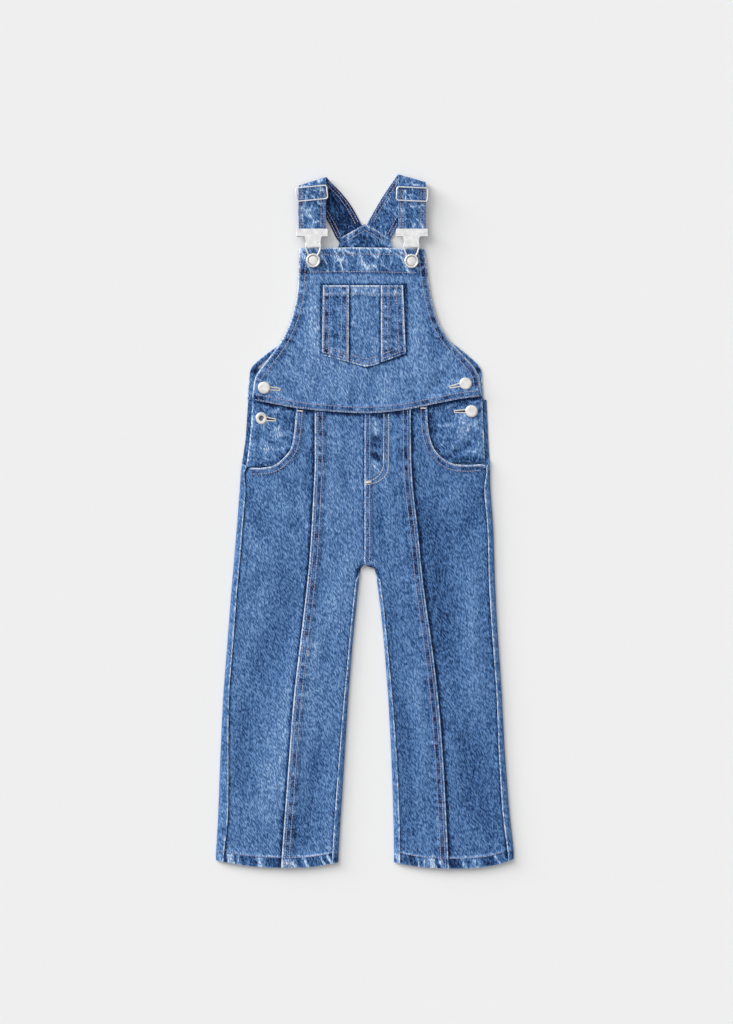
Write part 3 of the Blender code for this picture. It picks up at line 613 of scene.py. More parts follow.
def denim(name, tone=0.0):
    """Washed denim: slubs, warp streaks, twill, and where the marks say so, wear with painted highlight
    and darker dye with painted shade.
    """
    n = Nodes(name)
    shift = n.add("CombineXYZ", {"X": n.math("MULTIPLY", n.mark("piece"), 0.731),
                                 "Y": n.math("MULTIPLY", n.mark("piece"), 0.377)}).outputs[0]
    n.place = n.add("VectorMath", {0: n.place, 1: shift}, operation="ADD").outputs[0]
    slub = n.noise(0.9, 3.9, SLUB_ANGLE, 0.0)
    yarn = n.noise(0.85, 3.4, SLUB_ANGLE - 14.0, 0.0)
    fleck = n.noise(0.5, 1.1, SLUB_ANGLE - 8.0, 1.0)
    streak = n.noise(1.3, 34.0, 0.0, 1.0)
    cloud = n.noise(42.0, 66.0)
    patch = n.noise(8.0, 15.0, 10.0)
    twill = n.add("TexWave", {"Vector": n.stretched(TWILL_PITCH, TWILL_PITCH, SLUB_ANGLE + 12.0),
                              "Scale": 0.314, "Distortion": 1.2, "Detail": 1.0},
                  wave_type="BANDS", bands_direction="X").outputs["Fac"]
    crackle = n.ridges(n.noise(2.3, 7.5, SLUB_ANGLE, 0.0), 7.0)
    grain = n.weighted(0.0, (slub, 0.5, 0.95), (yarn, 0.5, 0.7), (fleck, 0.5, 0.2),
                       (crackle, 0.36, 0.27))
    grain = n.math("SMOOTH_MIN", grain, GRAIN_TOP, 0.2)
    grain = n.math("SMOOTH_MAX", grain, -GRAIN_TOP, 0.16)
    value = n.weighted(0.53 + tone, (grain, 0.0, 1.0), (streak, 0.5, 0.26), (cloud, 0.5, 0.12),
                       (patch, 0.5, 0.06), (twill, 0.5, 0.07), (n.mark("wear"), 0.0, 0.46),
                       (n.mark("shade"), 0.0, -0.42))
    pale = n.ramp(n.weighted(0.5, (slub, 0.5, 1.2), (fleck, 0.5, 0.8)), *WRONG_STOPS)
    inputs = {
        "Base Color": n.mix(n.mark("wrong"), n.ramp(value, *DENIM_STOPS), pale),
        "Roughness": n.weighted(0.86, (slub, 0.5, 0.25)),
        "Sheen Weight": 0.05, "Sheen Roughness": 0.5, "Specular IOR Level": 0.12,
    }
    height = n.weighted(0.0, (slub, 0.5, 0.9), (yarn, 0.5, 0.4), (fleck, 0.5, 0.3),
                        (twill, 0.5, 0.35))
    return n.finish(inputs, height, 0.75, 0.00045)


def thread(name, colour, dark):
    """Spun sewing thread in two colours along its twist, with painted shade where it goes into the
    cloth.
    """
    n = Nodes(name)
    twist = n.noise(0.5, 0.9, 40.0)
    tint = n.noise(7.0, 7.0)
    value = n.weighted(0.5, (twist, 0.5, 0.9), (tint, 0.5, 1.3))
    spun = n.ramp(value, (0.1, dark), (0.9, colour))
    # Navy painted shade where the shade mark says so: the stitches' holes and the buttonholes' slits
    inputs = {"Base Color": n.mix(n.mark("shade"), spun, linear(26, 38, 72)),
              "Roughness": 0.8, "Specular IOR Level": 0.2}
    return n.finish(inputs, twist, 0.5, 0.0002)


def metal(name, colour, rough, brushed):
    """Plated metal with fine rubbing marks, a slight change of gloss, and grey painted shade where the
    shade mark says so.
    """
    n = Nodes(name)
    rub = n.noise(0.35, 3.5, 80.0, 3.0, 0.6)
    haze = n.noise(5.0, 5.0)
    value = n.weighted(0.5, (haze, 0.5, 1.0), (rub, 0.5, 0.5))
    unshaded = n.ramp(value, (0.2, [c * 0.86 for c in colour]), (0.8, colour))
    inputs = {"Base Color": n.mix(n.mark("shade"), unshaded, linear(104, 102, 102)),
              "Roughness": n.weighted(rough, (haze, 0.5, 0.2), (rub, 0.5, 0.15)),
              "Metallic": 0.5}
    return n.finish(inputs, rub, brushed, 0.0001)


def plain_floor():
    n = Nodes("floor")
    value = n.weighted(0.5, (n.noise(3.0, 3.0, 0.0, 4.0), 0.5, 0.2))
    return n.finish({"Base Color": n.ramp(value, (0.0, (238, 238, 238)), (1.0, (240, 240, 240))),
                     "Roughness": 0.95, "Specular IOR Level": 0.0})


MATERIALS = {
    "front": denim("denim_front"), "back": denim("denim_back", -0.03),
    "pocket": denim("denim_pocket"), "strap": denim("denim_strap", -0.03),
    "thread": thread("thread", (214, 208, 222), (140, 134, 164)),
    "cream": thread("thread_cream", (250, 246, 238), (214, 206, 196)),
    "buckle": metal("buckle_metal", (253, 253, 254), 0.36, 0.25),
    "button": metal("button_metal", (250, 249, 247), 0.34, 0.2),
}


# ---------------------------------------------------------------- stitches

STITCHES = []            # rows of stitches: cloth, line, pitch and colour
# Rings of one stitch: place along its pitch, size, rise in mm, and how dark the painted shade of its
# hole makes it
STITCH_RINGS = ((-0.49, 0.30, -0.05, 1.0), (-0.40, 0.75, -0.12, 1.0), (-0.31, 0.85, 0.06, 0.0),
                (0.31, 0.85, 0.06, 0.0), (0.40, 0.75, -0.12, 1.0), (0.49, 0.30, -0.05, 1.0))
STITCH_SIDES = 6
STITCH_REACH = 0.4       # share of the pitch from a stitch's middle to where its height is read


def row(cloth, line, pitch=STITCH, colour="thread"):
    """Remembers a row of stitches on a piece of cloth."""
    STITCHES.append((cloth, np.asarray(line, float), pitch, colour))


def side_rows(cloth, made, side, distances, start=1.5, end=-1.5):
    """Rows beside a panel's side, between two distances along it."""
    for distance in distances:
        row(cloth, part_of(beside(made.lines[side], INWARD[side] * distance), start, end))


def cross_stitches(cloth, start, end, inner, outer, pitch=0.62):
    """Close stitches square to a line, from an inner to an outer distance on its left."""
    start, end = np.array(start), np.array(end)
    length = np.linalg.norm(end - start)
    way = (end - start) / length
    left = np.array((-way[1], way[0]))
    for run in np.arange(0.3, length, pitch):
        spot = start + way * run
        row(cloth, [spot + left * inner, spot + left * outer], outer - inner, "cream")


def sew():
    """Every remembered row as separate stitches, pressed into the cloth that they hold."""
    graph = bpy.context.evaluated_depsgraph_get()
    trees = {}
    sewn = {}
    rng = np.random.default_rng(5)
    for cloth, line, pitch, colour in STITCHES:
        if cloth.name not in trees:
            trees[cloth.name] = BVHTree.FromObject(cloth, graph)
        run = run_of(line)
        count = max(int(run[-1] / pitch), 1)
        length = run[-1] / count
        for at in (np.arange(count) + 0.5) * length + rng.uniform(-0.12, 0.12, count):
            ends = [np.array([np.interp(at + reach * length, run, column) for column in line.T])
                    for reach in (-STITCH_REACH, STITCH_REACH)]
            spots = [trees[cloth.name].ray_cast(Vector((*(end * MM), 1.0)), DOWN)[0]
                     for end in ends]
            if None not in spots:
                pair = [np.array(spot) / MM for spot in spots]
                sewn.setdefault((cloth.name, colour), []).append(pair)
    for (cloth_name, colour), pairs in sewn.items():
        stitch_mesh(cloth_name.replace("_cloth", "_stitches"), np.array(pairs), colour)


def stitch_mesh(name, pairs, colour):
    """All the stitches of one colour on a cloth, from the places of their ends."""
    middle, way = pairs.mean(axis=1), pairs[:, 1] - pairs[:, 0]
    reach = np.linalg.norm(way, axis=1)[:, None]
    length = reach / (2 * STITCH_REACH)
    way = way / reach
    side = np.cross(way, (0.0, 0.0, 1.0))
    side /= np.linalg.norm(side, axis=1)[:, None]
    up = np.cross(side, way)
    points = []
    for shift, size, lift, _ in STITCH_RINGS:
        for angle in 2 * math.pi * np.arange(STITCH_SIDES) / STITCH_SIDES:
            points.append(middle + way * length * shift + side * THREAD * size * math.cos(angle)
                          + up * (THREAD * size * math.sin(angle) + lift))
    each = len(points)
    pattern = [face[::-1] for face in ring_faces(len(STITCH_RINGS), STITCH_SIDES)]
    faces = [tuple(v + s * each for v in face) for s in range(len(pairs)) for face in pattern]
    # How dark each ring is in the painted shade of the stitch's holes
    dark = np.repeat([ring[3] for ring in STITCH_RINGS], STITCH_SIDES)
    to_mesh(name, np.stack(points, axis=1).reshape(-1, 3), faces, colour,
            {"shade": np.tile(dark, len(pairs))})


# ---------------------------------------------------------------- trousers

# Creases, listed one by one. Columns: x and y of the start, x and y of the end, width, and height,
# which is below 0 in a trough
LEG_CREASES = (
    (-63, -105, -124, -360, 19, 1.1), (-84, -60, -132, -200, 17, -0.9),
    (-134, -205, -150, -330, 15, -0.8), (-50, -250, -72, -404, 13, -1.0),
    (-10, -30, -40, -140, 10, 0.9), (-22, -60, -52, -190, 7, -0.5),
    (-66, 84, -66, 24, 5, -0.9), (-28, 80, -23, 32, 5, -0.8),
    (-49, 115, -54, 42, 6, 0.7), (-40, 60, -44, -30, 9, 0.5),
    (-142, 34, -118, -24, 8, -0.6), (-150, -10, -104, -56, 8, 0.5),
    (-118, 50, -86, 8, 8, 0.6), (-96, 58, -78, -12, 6, -0.5),
    (78, 30, 102, -190, 15, -1.1), (118, -240, 146, -380, 17, -1.0),
    (68, -150, 64, -350, 9, 0.7), (126, -40, 134, -230, 12, 0.9),
    (26, -80, 40, -260, 10, -0.6), (46, -200, 56, -390, 12, -0.8),
    (120, 50, 92, 10, 8, 0.7), (144, 30, 108, -30, 8, -0.6),
    (26, 60, 30, -20, 6, 0.6), (18, 20, 22, -50, 5, -0.5),
    (104, -250, 112, -330, 10, 0.6), (-160, -240, -166, -330, 8, 0.5),
)
HIP_CREASES = (
    (-131, 140, -104, 122, 3.4, -1.0), (-134, 128, -100, 112, 4, 0.7),
    (-136, 106, -98, 88, 4, -0.8), (-132, 94, -108, 78, 5, 0.6),
    (-92, 130, -90, 96, 5, -0.8), (130, 144, 92, 132, 3.6, -1.2),
    (132, 98, 98, 78, 4.2, -1.2), (134, 118, 92, 112, 5, 0.6),
    (136, 84, 116, 74, 3.6, 0.6), (82, 128, 84, 96, 5, -0.8),
)
CENTRE_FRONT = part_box("front_centre_r")[0].x / MM
CROTCH_TOP = -55.8
OPENING_FOOT = 60.2      # height of the side openings' lower ends
FLY_TOP = 129.0
FLY_WIDTH = 22.0
FLY_FOOT = 48.0
FLY_CURVE = 21.0         # height of the curve at the fly's foot
FLY_LINES = ((FLY_WIDTH, FLY_FOOT), (FLY_WIDTH + 5.6, FLY_FOOT - 4.0))   # width, foot
# The fly's bar tacks: ends as x from the centre front and y, and half their width
FLY_TACKS = (((22.0, 81.0), (22.0, 72.5), 0.9), ((1.0, 46.6), (7.0, 47.4), 1.8))
FLY_EDGE_ROWS = (1.6, 6.4)
SCOOP_ROWS = (2.2, 7.4)
SCOOP_TACK = (1.2, 8.0)  # distances of the tack's ends from the scoop's edge

FLY_EDGE = (
    ("z", 0.9, "band", 8.0, 2.5), ("z", 0.35, "waves", 5.0, 4.5),
    ("wear", 0.8, "even", 0.4, 1.2), ("wear", 0.25, "crests", 5.0, 4.0),
    ("shade", 0.3, "troughs", 5.0, 4.0),
)
# Painted shadow, with the unfaded dye, along a panel's edge where a folded edge lies over it: the
# fly's, and the backs' turned edges at the inseam and the side seam
UNDER_FLY = (("shade", 0.9, "even", 1.0, 1.6),)
INSEAM = (("shade", 0.95, "even", 0.0, 2.2),)
SIDE_SEAM = (("shade", 1.0, "even", 0.0, 2.4),)
# The scoop's folded edge; the dark lines along its stitch rows are painted shade
SCOOP_EDGE = (
    ("z", 0.9, "band", 8.4, 2.2), ("z", 0.3, "waves", 4.5, 4.0),
    ("wear", 1.15, "even", 0.4, 1.2), ("wear", 0.5, "crests", 4.8, 3.0),
    ("shade", 0.3, "even", SCOOP_ROWS[0], 0.9), ("shade", 0.3, "even", SCOOP_ROWS[1], 0.9),
    ("shade", 0.3, "even", 4.8, 2.4), ("shade", 0.5, "troughs", 4.8, 2.4),
)
HIP_EDGE = (
    ("z", 0.6, "band", 8.0, 2.0), ("z", 0.25, "waves", 4.0, 4.0),
    ("wear", 0.9, "even", 0.4, 1.2), ("wear", 0.4, "crests", 4.0, 4.0),
)


def fly_line(width, foot):
    """The fly's stitching: down, and round to the centre front."""
    curve = [(CENTRE_FRONT + width * math.cos(a), foot + FLY_CURVE * (1.0 - math.sin(a)))
             for a in np.linspace(0.0, math.pi / 2, 9)]
    return through([(CENTRE_FRONT + width + 0.4, FLY_TOP)] + curve, LINE_STEP, sharp=True)


def front_centre(side):
    seam, inner = OUTER[side], INNER[side]
    laps = (seam, inner) if side == "r" else (seam,)
    made = panel("front_centre_" + side, laps)
    seed = made.seed
    loose(made, seed)
    creases(made, LEG_CREASES)
    hem(made, seed + 1)
    seam_edge(made, seam, seed + 2, ends=("top",))
    over = smooth((made.y - CROTCH_TOP) / 6.0)
    if side == "r":
        bumps(made, inner, FLY_EDGE, ripple(made.run[inner], 11.0, seed + 3), over)
        fly(made)
    else:
        bumps(made, inner, UNDER_FLY, share=over)
    bumps(made, inner, INSEAM, share=1.0 - over)
    under_edge(made, "top", seed + 4)
    rolled(made, (*laps, "foot"))
    cloth = shell(made, "front")
    side_rows(cloth, made, seam, ROWS)
    side_rows(cloth, made, "foot", (HEM,))
    if side == "r":
        side_rows(cloth, made, inner, FLY_EDGE_ROWS, 2.0, FLY_TOP - CROTCH_TOP)
        for width, foot in FLY_LINES:
            row(cloth, fly_line(width, foot), colour="cream")
        for (start_x, start_y), (end_x, end_y), half in FLY_TACKS:
            cross_stitches(cloth, (CENTRE_FRONT + start_x, start_y),
                           (CENTRE_FRONT + end_x, end_y), -half, half)


def fly(made):
    """The fly under the right front: a soft raised field, bumps over its layers, its grooves."""
    x, y = made.x - CENTRE_FRONT, made.y
    # Each stitch line's groove, with painted shade in it, and the puckers beside it
    for width, foot in FLY_LINES:
        away, run = nearest(made.x, y, fly_line(width, foot))
        waves = ripple(run, 9.0, int(width))
        made.z += -0.24 * hump(away, 0.9) + 0.3 * waves * hump(away - 3.0, 3.0)
        made.wear += 0.25 * hump(away - 2.4, 1.8) * clamp(waves)
        made.shade += 0.22 * hump(away, 1.0)
    inside = smooth((FLY_WIDTH - x) / 5.0) * smooth((y - FLY_FOOT - 6.0) / 8.0)
    lumps = np.clip(2.2 * ripple(y + 0.4 * made.x, 15.0, 71), -1, 1) * hump(x - 12.0, 6.5)
    made.z += inside * (0.35 + 0.7 * lumps)
    made.wear += inside * 0.7 * clamp(lumps)
    made.shade += inside * (0.14 + 0.8 * clamp(-lumps))
    made.shade += 0.8 * hump(x - 15.0, 4.5) * hump(y - 125.5, 3.6)


def front_side(side):
    seam, outer = INNER[side], OUTER[side]
    made = panel("front_side_" + side)
    seed, line = made.seed, made.lines[outer]
    loose(made, seed)
    creases(made, LEG_CREASES)
    hem(made, seed + 1)
    under_edge(made, seam, seed + 2)
    reach = np.where(line[:, 1] > OPENING_FOOT + 4.0, -INWARD[outer] * line[:, 0], -np.inf)
    scoop_run = run_of(line)[np.argmax(reach)]
    run = made.run[outer]
    on_scoop = band(run, scoop_run - 2.0, 4.0)
    waves = ripple(run, 8.5, seed + 3) + 0.5 * ripple(run, 4.0, seed + 4)
    bumps(made, outer, SCOOP_EDGE, waves, on_scoop)
    bumps(made, outer, SIDE_SEAM, share=1.0 - on_scoop)
    under_edge(made, "top", seed + 5)
    rolled(made, (outer,), on_scoop, 1.0)
    rolled(made, ("foot",))
    cloth = shell(made, "front")
    scoop = part_of(line, 0.0, scoop_run)
    for distance in SCOOP_ROWS:
        row(cloth, part_of(beside(scoop, INWARD[outer] * distance), 2.0, -1.0))
    side_rows(cloth, made, "foot", (HEM,))
    start, end = (part_of(beside(scoop, INWARD[outer] * distance), 3.0, 9.0)[0]
                  for distance in SCOOP_TACK)
    cross_stitches(cloth, start, end, -0.9, 0.9)


def hip_panel(side):
    inner, outer = INNER[side], OUTER[side]
    made = panel("hip_panel_" + side)
    seed = made.seed
    loose(made, seed, 0.3)
    creases(made, HIP_CREASES)
    crinkle(made, 0.7, seed + 1)
    # Painted shadow under the front's scoop edge, along the inner side and the foot
    bumps(made, inner, (("shade", 0.85, "even", 7.0, 5.5),))
    bumps(made, "foot", (("shade", 0.55, "even", 3.0, 5.0),))
    bumps(made, outer, HIP_EDGE, ripple(made.run[outer], 8.0, seed + 2))
    under_edge(made, "top", seed + 3, reach=2.2)
    rolled(made, (outer,))
    shell(made, "front", floor=1.3)


# ---------------------------------------------------------------- backs of the legs

FOLD_MIDDLE = 2.7        # height of the outline, where the back turns up over the front
FRONT_TOP = 5.9
FOLD_REACH = 12.0        # from the outline to where the turned edge lies level
SOLE_REACH = 3.0         # from the outline to where the back lies on the surface
STRIP_RISE = 1.1         # of the turned edge above the front's own height
STRIP_STEPS = (0.0, 0.1, 0.3, 0.6, 1.0, 1.6, 2.3, 3.2)
SOLE_TURNS = (0.0, 25.0, 50.0, 70.0, 90.0)
STAND_STEP = 0.9         # between the points of an edge that lies flat
OUTLINE_SKIP = (42.0, 58.0)   # the CAD's steps of the side turn, made smooth here
HEM_CURVE = 12.0         # height that the outline's hem takes up
HEM_FALL = 90.0          # height over which the sections bend down to the hem's curve
BACK_COLUMNS = 50
BACK_STEP = 2.3

# The edges that turn up over the front: the front panel below them, the height above which
# they lie flat, and the height below which they are turned up
Turn = namedtuple("Turn", "over flat turned")
TURNS = {
    "l": {"right": Turn("front_centre_l", -56.8, -70.8), "left": Turn("front_side_l", 75.0, 66.0)},
    "r": {"right": Turn("front_side_r", 75.0, 66.0), "left": Turn("front_centre_r", -56.8, -70.8)},
}


def leg_outline(node):
    """The node's left and right outlines as rows of x and y, and its hem's, from the frame."""
    low, high = (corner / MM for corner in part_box(node))
    spots = {tuple(round(c / MM, 1) for c in v.co) for v in frame["nodes"][node].data.vertices}
    hem_line = sorted((x, y) for x, y, _ in spots if y < low.y + HEM_CURVE)
    left, right = {}, {}
    for x, y, _ in spots:
        if y < low.y + HEM_CURVE or OUTLINE_SKIP[0] < y < OUTLINE_SKIP[1]:
            continue
        if x < (low.x + high.x) / 2:
            left[y] = min(left.get(y, x), x)
        else:
            right[y] = max(right.get(y, x), x)
    outlines = {name: np.array([corner] + [(side[y], y) for y in sorted(side)])
                for name, corner, side in (("left", hem_line[0], left), ("right", hem_line[-1], right))}
    return outlines, np.array(hem_line)


def turned_edge(wrap, share, lift):
    """An edge's section from its end inwards as (distance from the outline, height).

    It lies flat on the surface at a share of 0, and is turned up over the front at 1."""
    insets = [wrap - step for step in STRIP_STEPS]
    insets += [(wrap - STRIP_STEPS[-1]) * k for k in (0.6, 0.25)]
    folded = []
    for inset in insets:
        quarter = math.sqrt(1.0 - (1.0 - min(inset / FOLD_REACH, 1.0)) ** 2)
        raised = STRIP_RISE * smooth(inset / 2.6) * lift
        edge = max(1.0 - (wrap - inset) / EDGE_ROLL, 0.0)
        roll = EDGE_ROLL * (1.0 - math.sqrt(1.0 - edge ** 2))
        folded.append((inset, FOLD_MIDDLE + (FRONT_TOP - FOLD_MIDDLE) * quarter + raised - roll))
    for turn in np.radians(SOLE_TURNS):
        folded.append((SOLE_REACH * (1.0 - math.cos(turn)), FOLD_MIDDLE * (1.0 - math.sin(turn))))
    steps = np.diff(np.array(folded)[::-1], axis=0)
    length = STAND_STEP + (np.hypot(steps[:, 0], steps[:, 1]) - STAND_STEP) * share
    heading = np.arctan2(steps[:, 1], -steps[:, 0]) * share
    inset = -np.concatenate(([0.0], np.cumsum(length * np.cos(heading))))
    height = np.concatenate(([0.0], np.cumsum(length * np.sin(heading))))
    most = max(z for _, z in folded) * smooth(share)
    height *= min(1.0, most / max(height.max(), 0.001))
    return np.column_stack([(inset - inset.min())[::-1], height[::-1]])


def leg_section(level, outlines, turns, seed):
    """A back leg's section at a level, from its right edge round to its left.

    Its columns are x, height, wear and shade."""
    ends = {}
    for side, turn in turns.items():
        way = INWARD[side]
        outline_x = np.interp(level, outlines[side][:, 1], outlines[side][:, 0])
        front = panel_sides(turn.over)[side][::-1]
        front_x = np.interp(min(level, turn.turned - 3.0), front[:, 1], front[:, 0])
        share = clamp((turn.flat - level) / (turn.flat - turn.turned))
        wrap = max(way * (front_x - outline_x) + 0.6, 4.2) if share > 0.0 else 6.0
        waves = ripple(level, 10.0, seed + int(way))
        section = turned_edge(min(wrap, FOLD_REACH), share, 1.0 + 0.3 * waves)
        away = run_of(section)
        inside = 0.3 * hump(away - 4.0, 3.0)
        folded = smooth(share * 1.5 - 0.3)
        worn = hump(away - 0.4, 1.1) * (1.0 + 0.35 * waves)
        wear = folded * (worn + inside * max(waves, 0.0))
        shade = folded * inside * max(-waves, 0.0) + (1.0 - folded) * 0.35
        ends[side] = np.column_stack([outline_x + way * section[:, 0], section[:, 1], wear, shade])
    across = np.linspace(ends["right"][-1, 0], ends["left"][-1, 0], BACK_COLUMNS)[1:-1]
    under = np.column_stack([across, np.zeros((len(across), 3))])
    return np.vstack([ends["right"], under, ends["left"][::-1]])


def inward(grid):
    """Unit normals of a grid that point from its outer face into the cloth."""
    normal = np.cross(np.gradient(grid, axis=1), np.gradient(grid, axis=0))
    return normal / np.maximum(np.linalg.norm(normal, axis=2), 1e-9)[..., None]


def back_leg(side):
    """The back of a leg: flat below, turned up over the front along its seams."""
    node = "back_leg_" + side
    seed = PIECES[node].seed
    outlines, hem_line = leg_outline(node)
    foot, top = hem_line[:, 1].min(), outlines["left"][:, 1].max()
    above_hem = foot + EDGE_STEPS[-1]
    levels = np.concatenate((np.linspace(top, above_hem, int((top - above_hem) / BACK_STEP)),
                             foot + np.array(EDGE_STEPS)[:-1][::-1]))
    grid, wear, shade = [], [], []
    for level in levels:
        x, z, light, dark = leg_section(level, outlines, TURNS[side], seed).T
        fall = smooth((foot + HEM_FALL - level) / HEM_FALL)
        y = level + fall * (np.interp(x, hem_line[:, 0], hem_line[:, 1]) - foot)
        grid.append(np.column_stack([x, y, z]))
        bars = roping(x, level - foot, seed + 1)
        wear.append(light + ROPE_WEAR * clamp(bars) + 0.5 * hump(level - foot, 1.2))
        shade.append(dark + ROPE_SHADE * clamp(-bars))
    outer = np.array(grid)
    inner = outer + inward(outer) * WALL
    inner[..., 2] = np.maximum(inner[..., 2], 0.4)
    cloth = cloth_piece(node, outer, inner, {"wear": wear, "shade": shade}, "back")
    for edge in ("left", "right"):
        corner, end = outlines[edge][0], panel_sides(TURNS[side][edge].over)[edge][-1]
        inside = corner[0] + math.copysign(1.0, end[0] - corner[0])
        row(cloth, [(inside, corner[1] + HEM), (end[0], end[1] + HEM)])


# ---------------------------------------------------------------- bib

# Columns as in LEG_CREASES
BIB_CREASES = (
    (74, 252, 90, 190, 5, -0.8), (104, 178, 76, 160, 6, -1.0), (-62, 265, -56, 190, 6, 0.8),
    (-106, 168, -80, 158, 4, -0.8), (-94, 180, -60, 162, 6, 0.6), (60, 236, 66, 178, 6, 0.6),
    (-30, 178, -20, 146, 8, 0.6), (8, 180, 6, 142, 5, -0.5), (26, 176, 34, 146, 7, 0.6),
    (-74, 250, -86, 206, 6, -0.5), (118, 168, 92, 150, 5, 0.7), (-120, 166, -98, 150, 5, 0.6),
    (-8, 172, -12, 140, 5, -0.5), (50, 170, 62, 146, 7, -0.6), (-50, 176, -62, 148, 7, -0.6),
)
BIB_BAND = 29.5          # depth of the bib's faced top
BIB_ROWS = (8.0, 29.0)   # stitch rows from its top, its foot and its sides
BIB_FOOT_ROWS = (2.4, 7.8)
BIB_SIDE_ROWS = (2.0, 7.8)
# The faced top: painted shadow just below its raised band, and painted shade in its stitch rows'
# grooves
BIB_TOP = (
    ("z", 0.8, "band", BIB_BAND, 1.8), ("wear", 0.85, "even", 0.4, 1.5),
    ("shade", 0.35, "even", BIB_BAND + 1.6, 1.6), ("shade", 0.5, "crests", 20.0, 6.0),
    ("z", -0.28, "even", BIB_ROWS[0], 1.0), ("shade", 0.25, "even", BIB_ROWS[0], 1.1),
    ("z", -0.28, "even", BIB_ROWS[1], 1.0), ("shade", 0.25, "even", BIB_ROWS[1], 1.1),
)


def bib_front():
    made = panel("bib_front", ("foot",), 1.5)
    loose(made, 81)
    creases(made, BIB_CREASES)
    away = made.away["top"]
    crinkle(made, band(away, BIB_BAND, 1.8) * smooth(away / 3.0), 82)
    bumps(made, "top", BIB_TOP, field(made.x, away, 16.0, 83))
    seam_edge(made, "foot", 84, rows=BIB_FOOT_ROWS, width=9.2, light=1.3)
    for side, seed in (("left", 85), ("right", 86)):
        seam_edge(made, side, seed, rise=0.75, width=9.0, rows=BIB_SIDE_ROWS, pucker=0.3,
                  ends=("foot", "top"))
    pocket_shadow(made)
    rolled(made, ("top", "foot", "left", "right"))
    cloth = shell(made, "front")
    side_rows(cloth, made, "top", BIB_ROWS, 9.0, -9.0)
    side_rows(cloth, made, "foot", BIB_FOOT_ROWS, 3.0, -3.0)
    for side in ("left", "right"):
        side_rows(cloth, made, side, BIB_SIDE_ROWS, 2.0, -11.0)


POCKET_MIDDLE = 3.8
POCKET_SLOPE = 0.33      # of the pocket's pointed foot


def pocket_shadow(made):
    """The bib is darker along the pocket's edges: painted shadow of the pocket."""
    low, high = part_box("pocket_side_l")[0] / MM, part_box("pocket_side_r")[1] / MM
    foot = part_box("pocket_centre")[0].y / MM + np.abs(made.x - POCKET_MIDDLE) * POCKET_SLOPE
    outside_x = np.maximum(np.maximum(low.x - made.x, made.x - high.x), 0.0)
    outside_y = np.maximum(np.maximum(foot - made.y, made.y - high.y), 0.0)
    made.shade += 1.1 * hump(np.hypot(outside_x, outside_y) - 0.8, 1.8)


POCKET_BAND = 11.8       # depth of the pocket's turned top
POCKET_TOP = (
    ("z", 0.75, "band", POCKET_BAND, 1.4), ("z", 0.3, "waves", POCKET_BAND + 4.0, 4.0),
    ("wear", 0.3, "band", POCKET_BAND, 1.4), ("wear", 0.9, "even", 0.4, 1.0),
)
POCKET_FOOT = (
    ("z", 0.34, "waves", 6.0, 5.0), ("z", -0.2, "even", 2.4, 0.8), ("z", -0.2, "even", 8.0, 0.8),
    ("wear", 0.95, "even", 0.3, 1.0), ("wear", 0.6, "crests", 5.5, 4.5),
    ("shade", 0.6, "troughs", 5.5, 4.5),
)
# The pocket's sewn sides: seed, rise, width, stitch rows, pucker, light, and the width that the
# lapped side's layers lighten
PocketSide = namedtuple("PocketSide", "seed rise width rows pucker light pale")
POCKET_SIDES = {
    "pocket_side_l": {"left": PocketSide(101, 0.2, SEAM, (2.2, 8.0), 0.2, 1.6, None),
                      "right": PocketSide(102, 1.0, 11.0, (2.4, 8.8), 0.3, 1.4, 10.0)},
    "pocket_centre": {},
    "pocket_side_r": {"left": PocketSide(106, 1.0, 10.5, (2.4, 8.4), 0.3, 1.4, 9.5),
                      "right": PocketSide(105, 0.2, SEAM, (2.2, 8.0), 0.2, 1.6, None)},
}


def pocket_piece(node):
    """One of the bib pocket's pieces; the sides' folded edges lap over the middle one."""
    sides = POCKET_SIDES[node]
    laps = [side for side, sewn in sides.items() if sewn.pale]
    made = panel(node, laps)
    loose(made, made.seed, 0.12)
    away = made.away["top"]
    waves = ripple(made.run["top"] + away * 0.5, 7.0, made.seed + 1)
    bumps(made, "top", POCKET_TOP, waves)
    made.wear += 0.3 * band(away, POCKET_BAND, 1.4) * waves
    # Painted shadow just below the turned top's raised band
    made.shade += 0.65 * hump(away - POCKET_BAND - 1.8, 1.5) * clamp(0.7 - waves)
    for side, sewn in sides.items():
        seam_edge(made, side, *sewn[:6])
        if sewn.pale:
            bumps(made, side, (("wear", 0.16, "band", sewn.pale, 2.0),))
    if not sides:
        under_edge(made, "left", 103, reach=1.6)
        under_edge(made, "right", 104, reach=1.6)
    bumps(made, "foot", POCKET_FOOT, ripple(made.run["foot"], 6.5, made.seed + 2))
    rolled(made, ("top", "foot", *laps))
    cloth = shell(made, "pocket")
    side_rows(cloth, made, "top", (1.9, POCKET_BAND - 1.4))
    side_rows(cloth, made, "foot", ROWS)
    for side, sewn in sides.items():
        side_rows(cloth, made, side, sewn.rows)


ARMHOLE_CORNERS = {"left": (-130.5, 178.5), "right": (134.5, 178.5)}
ARMHOLE_FOOT = 176.0
BACK_HEM = 5.4           # width of the armholes' turned hems


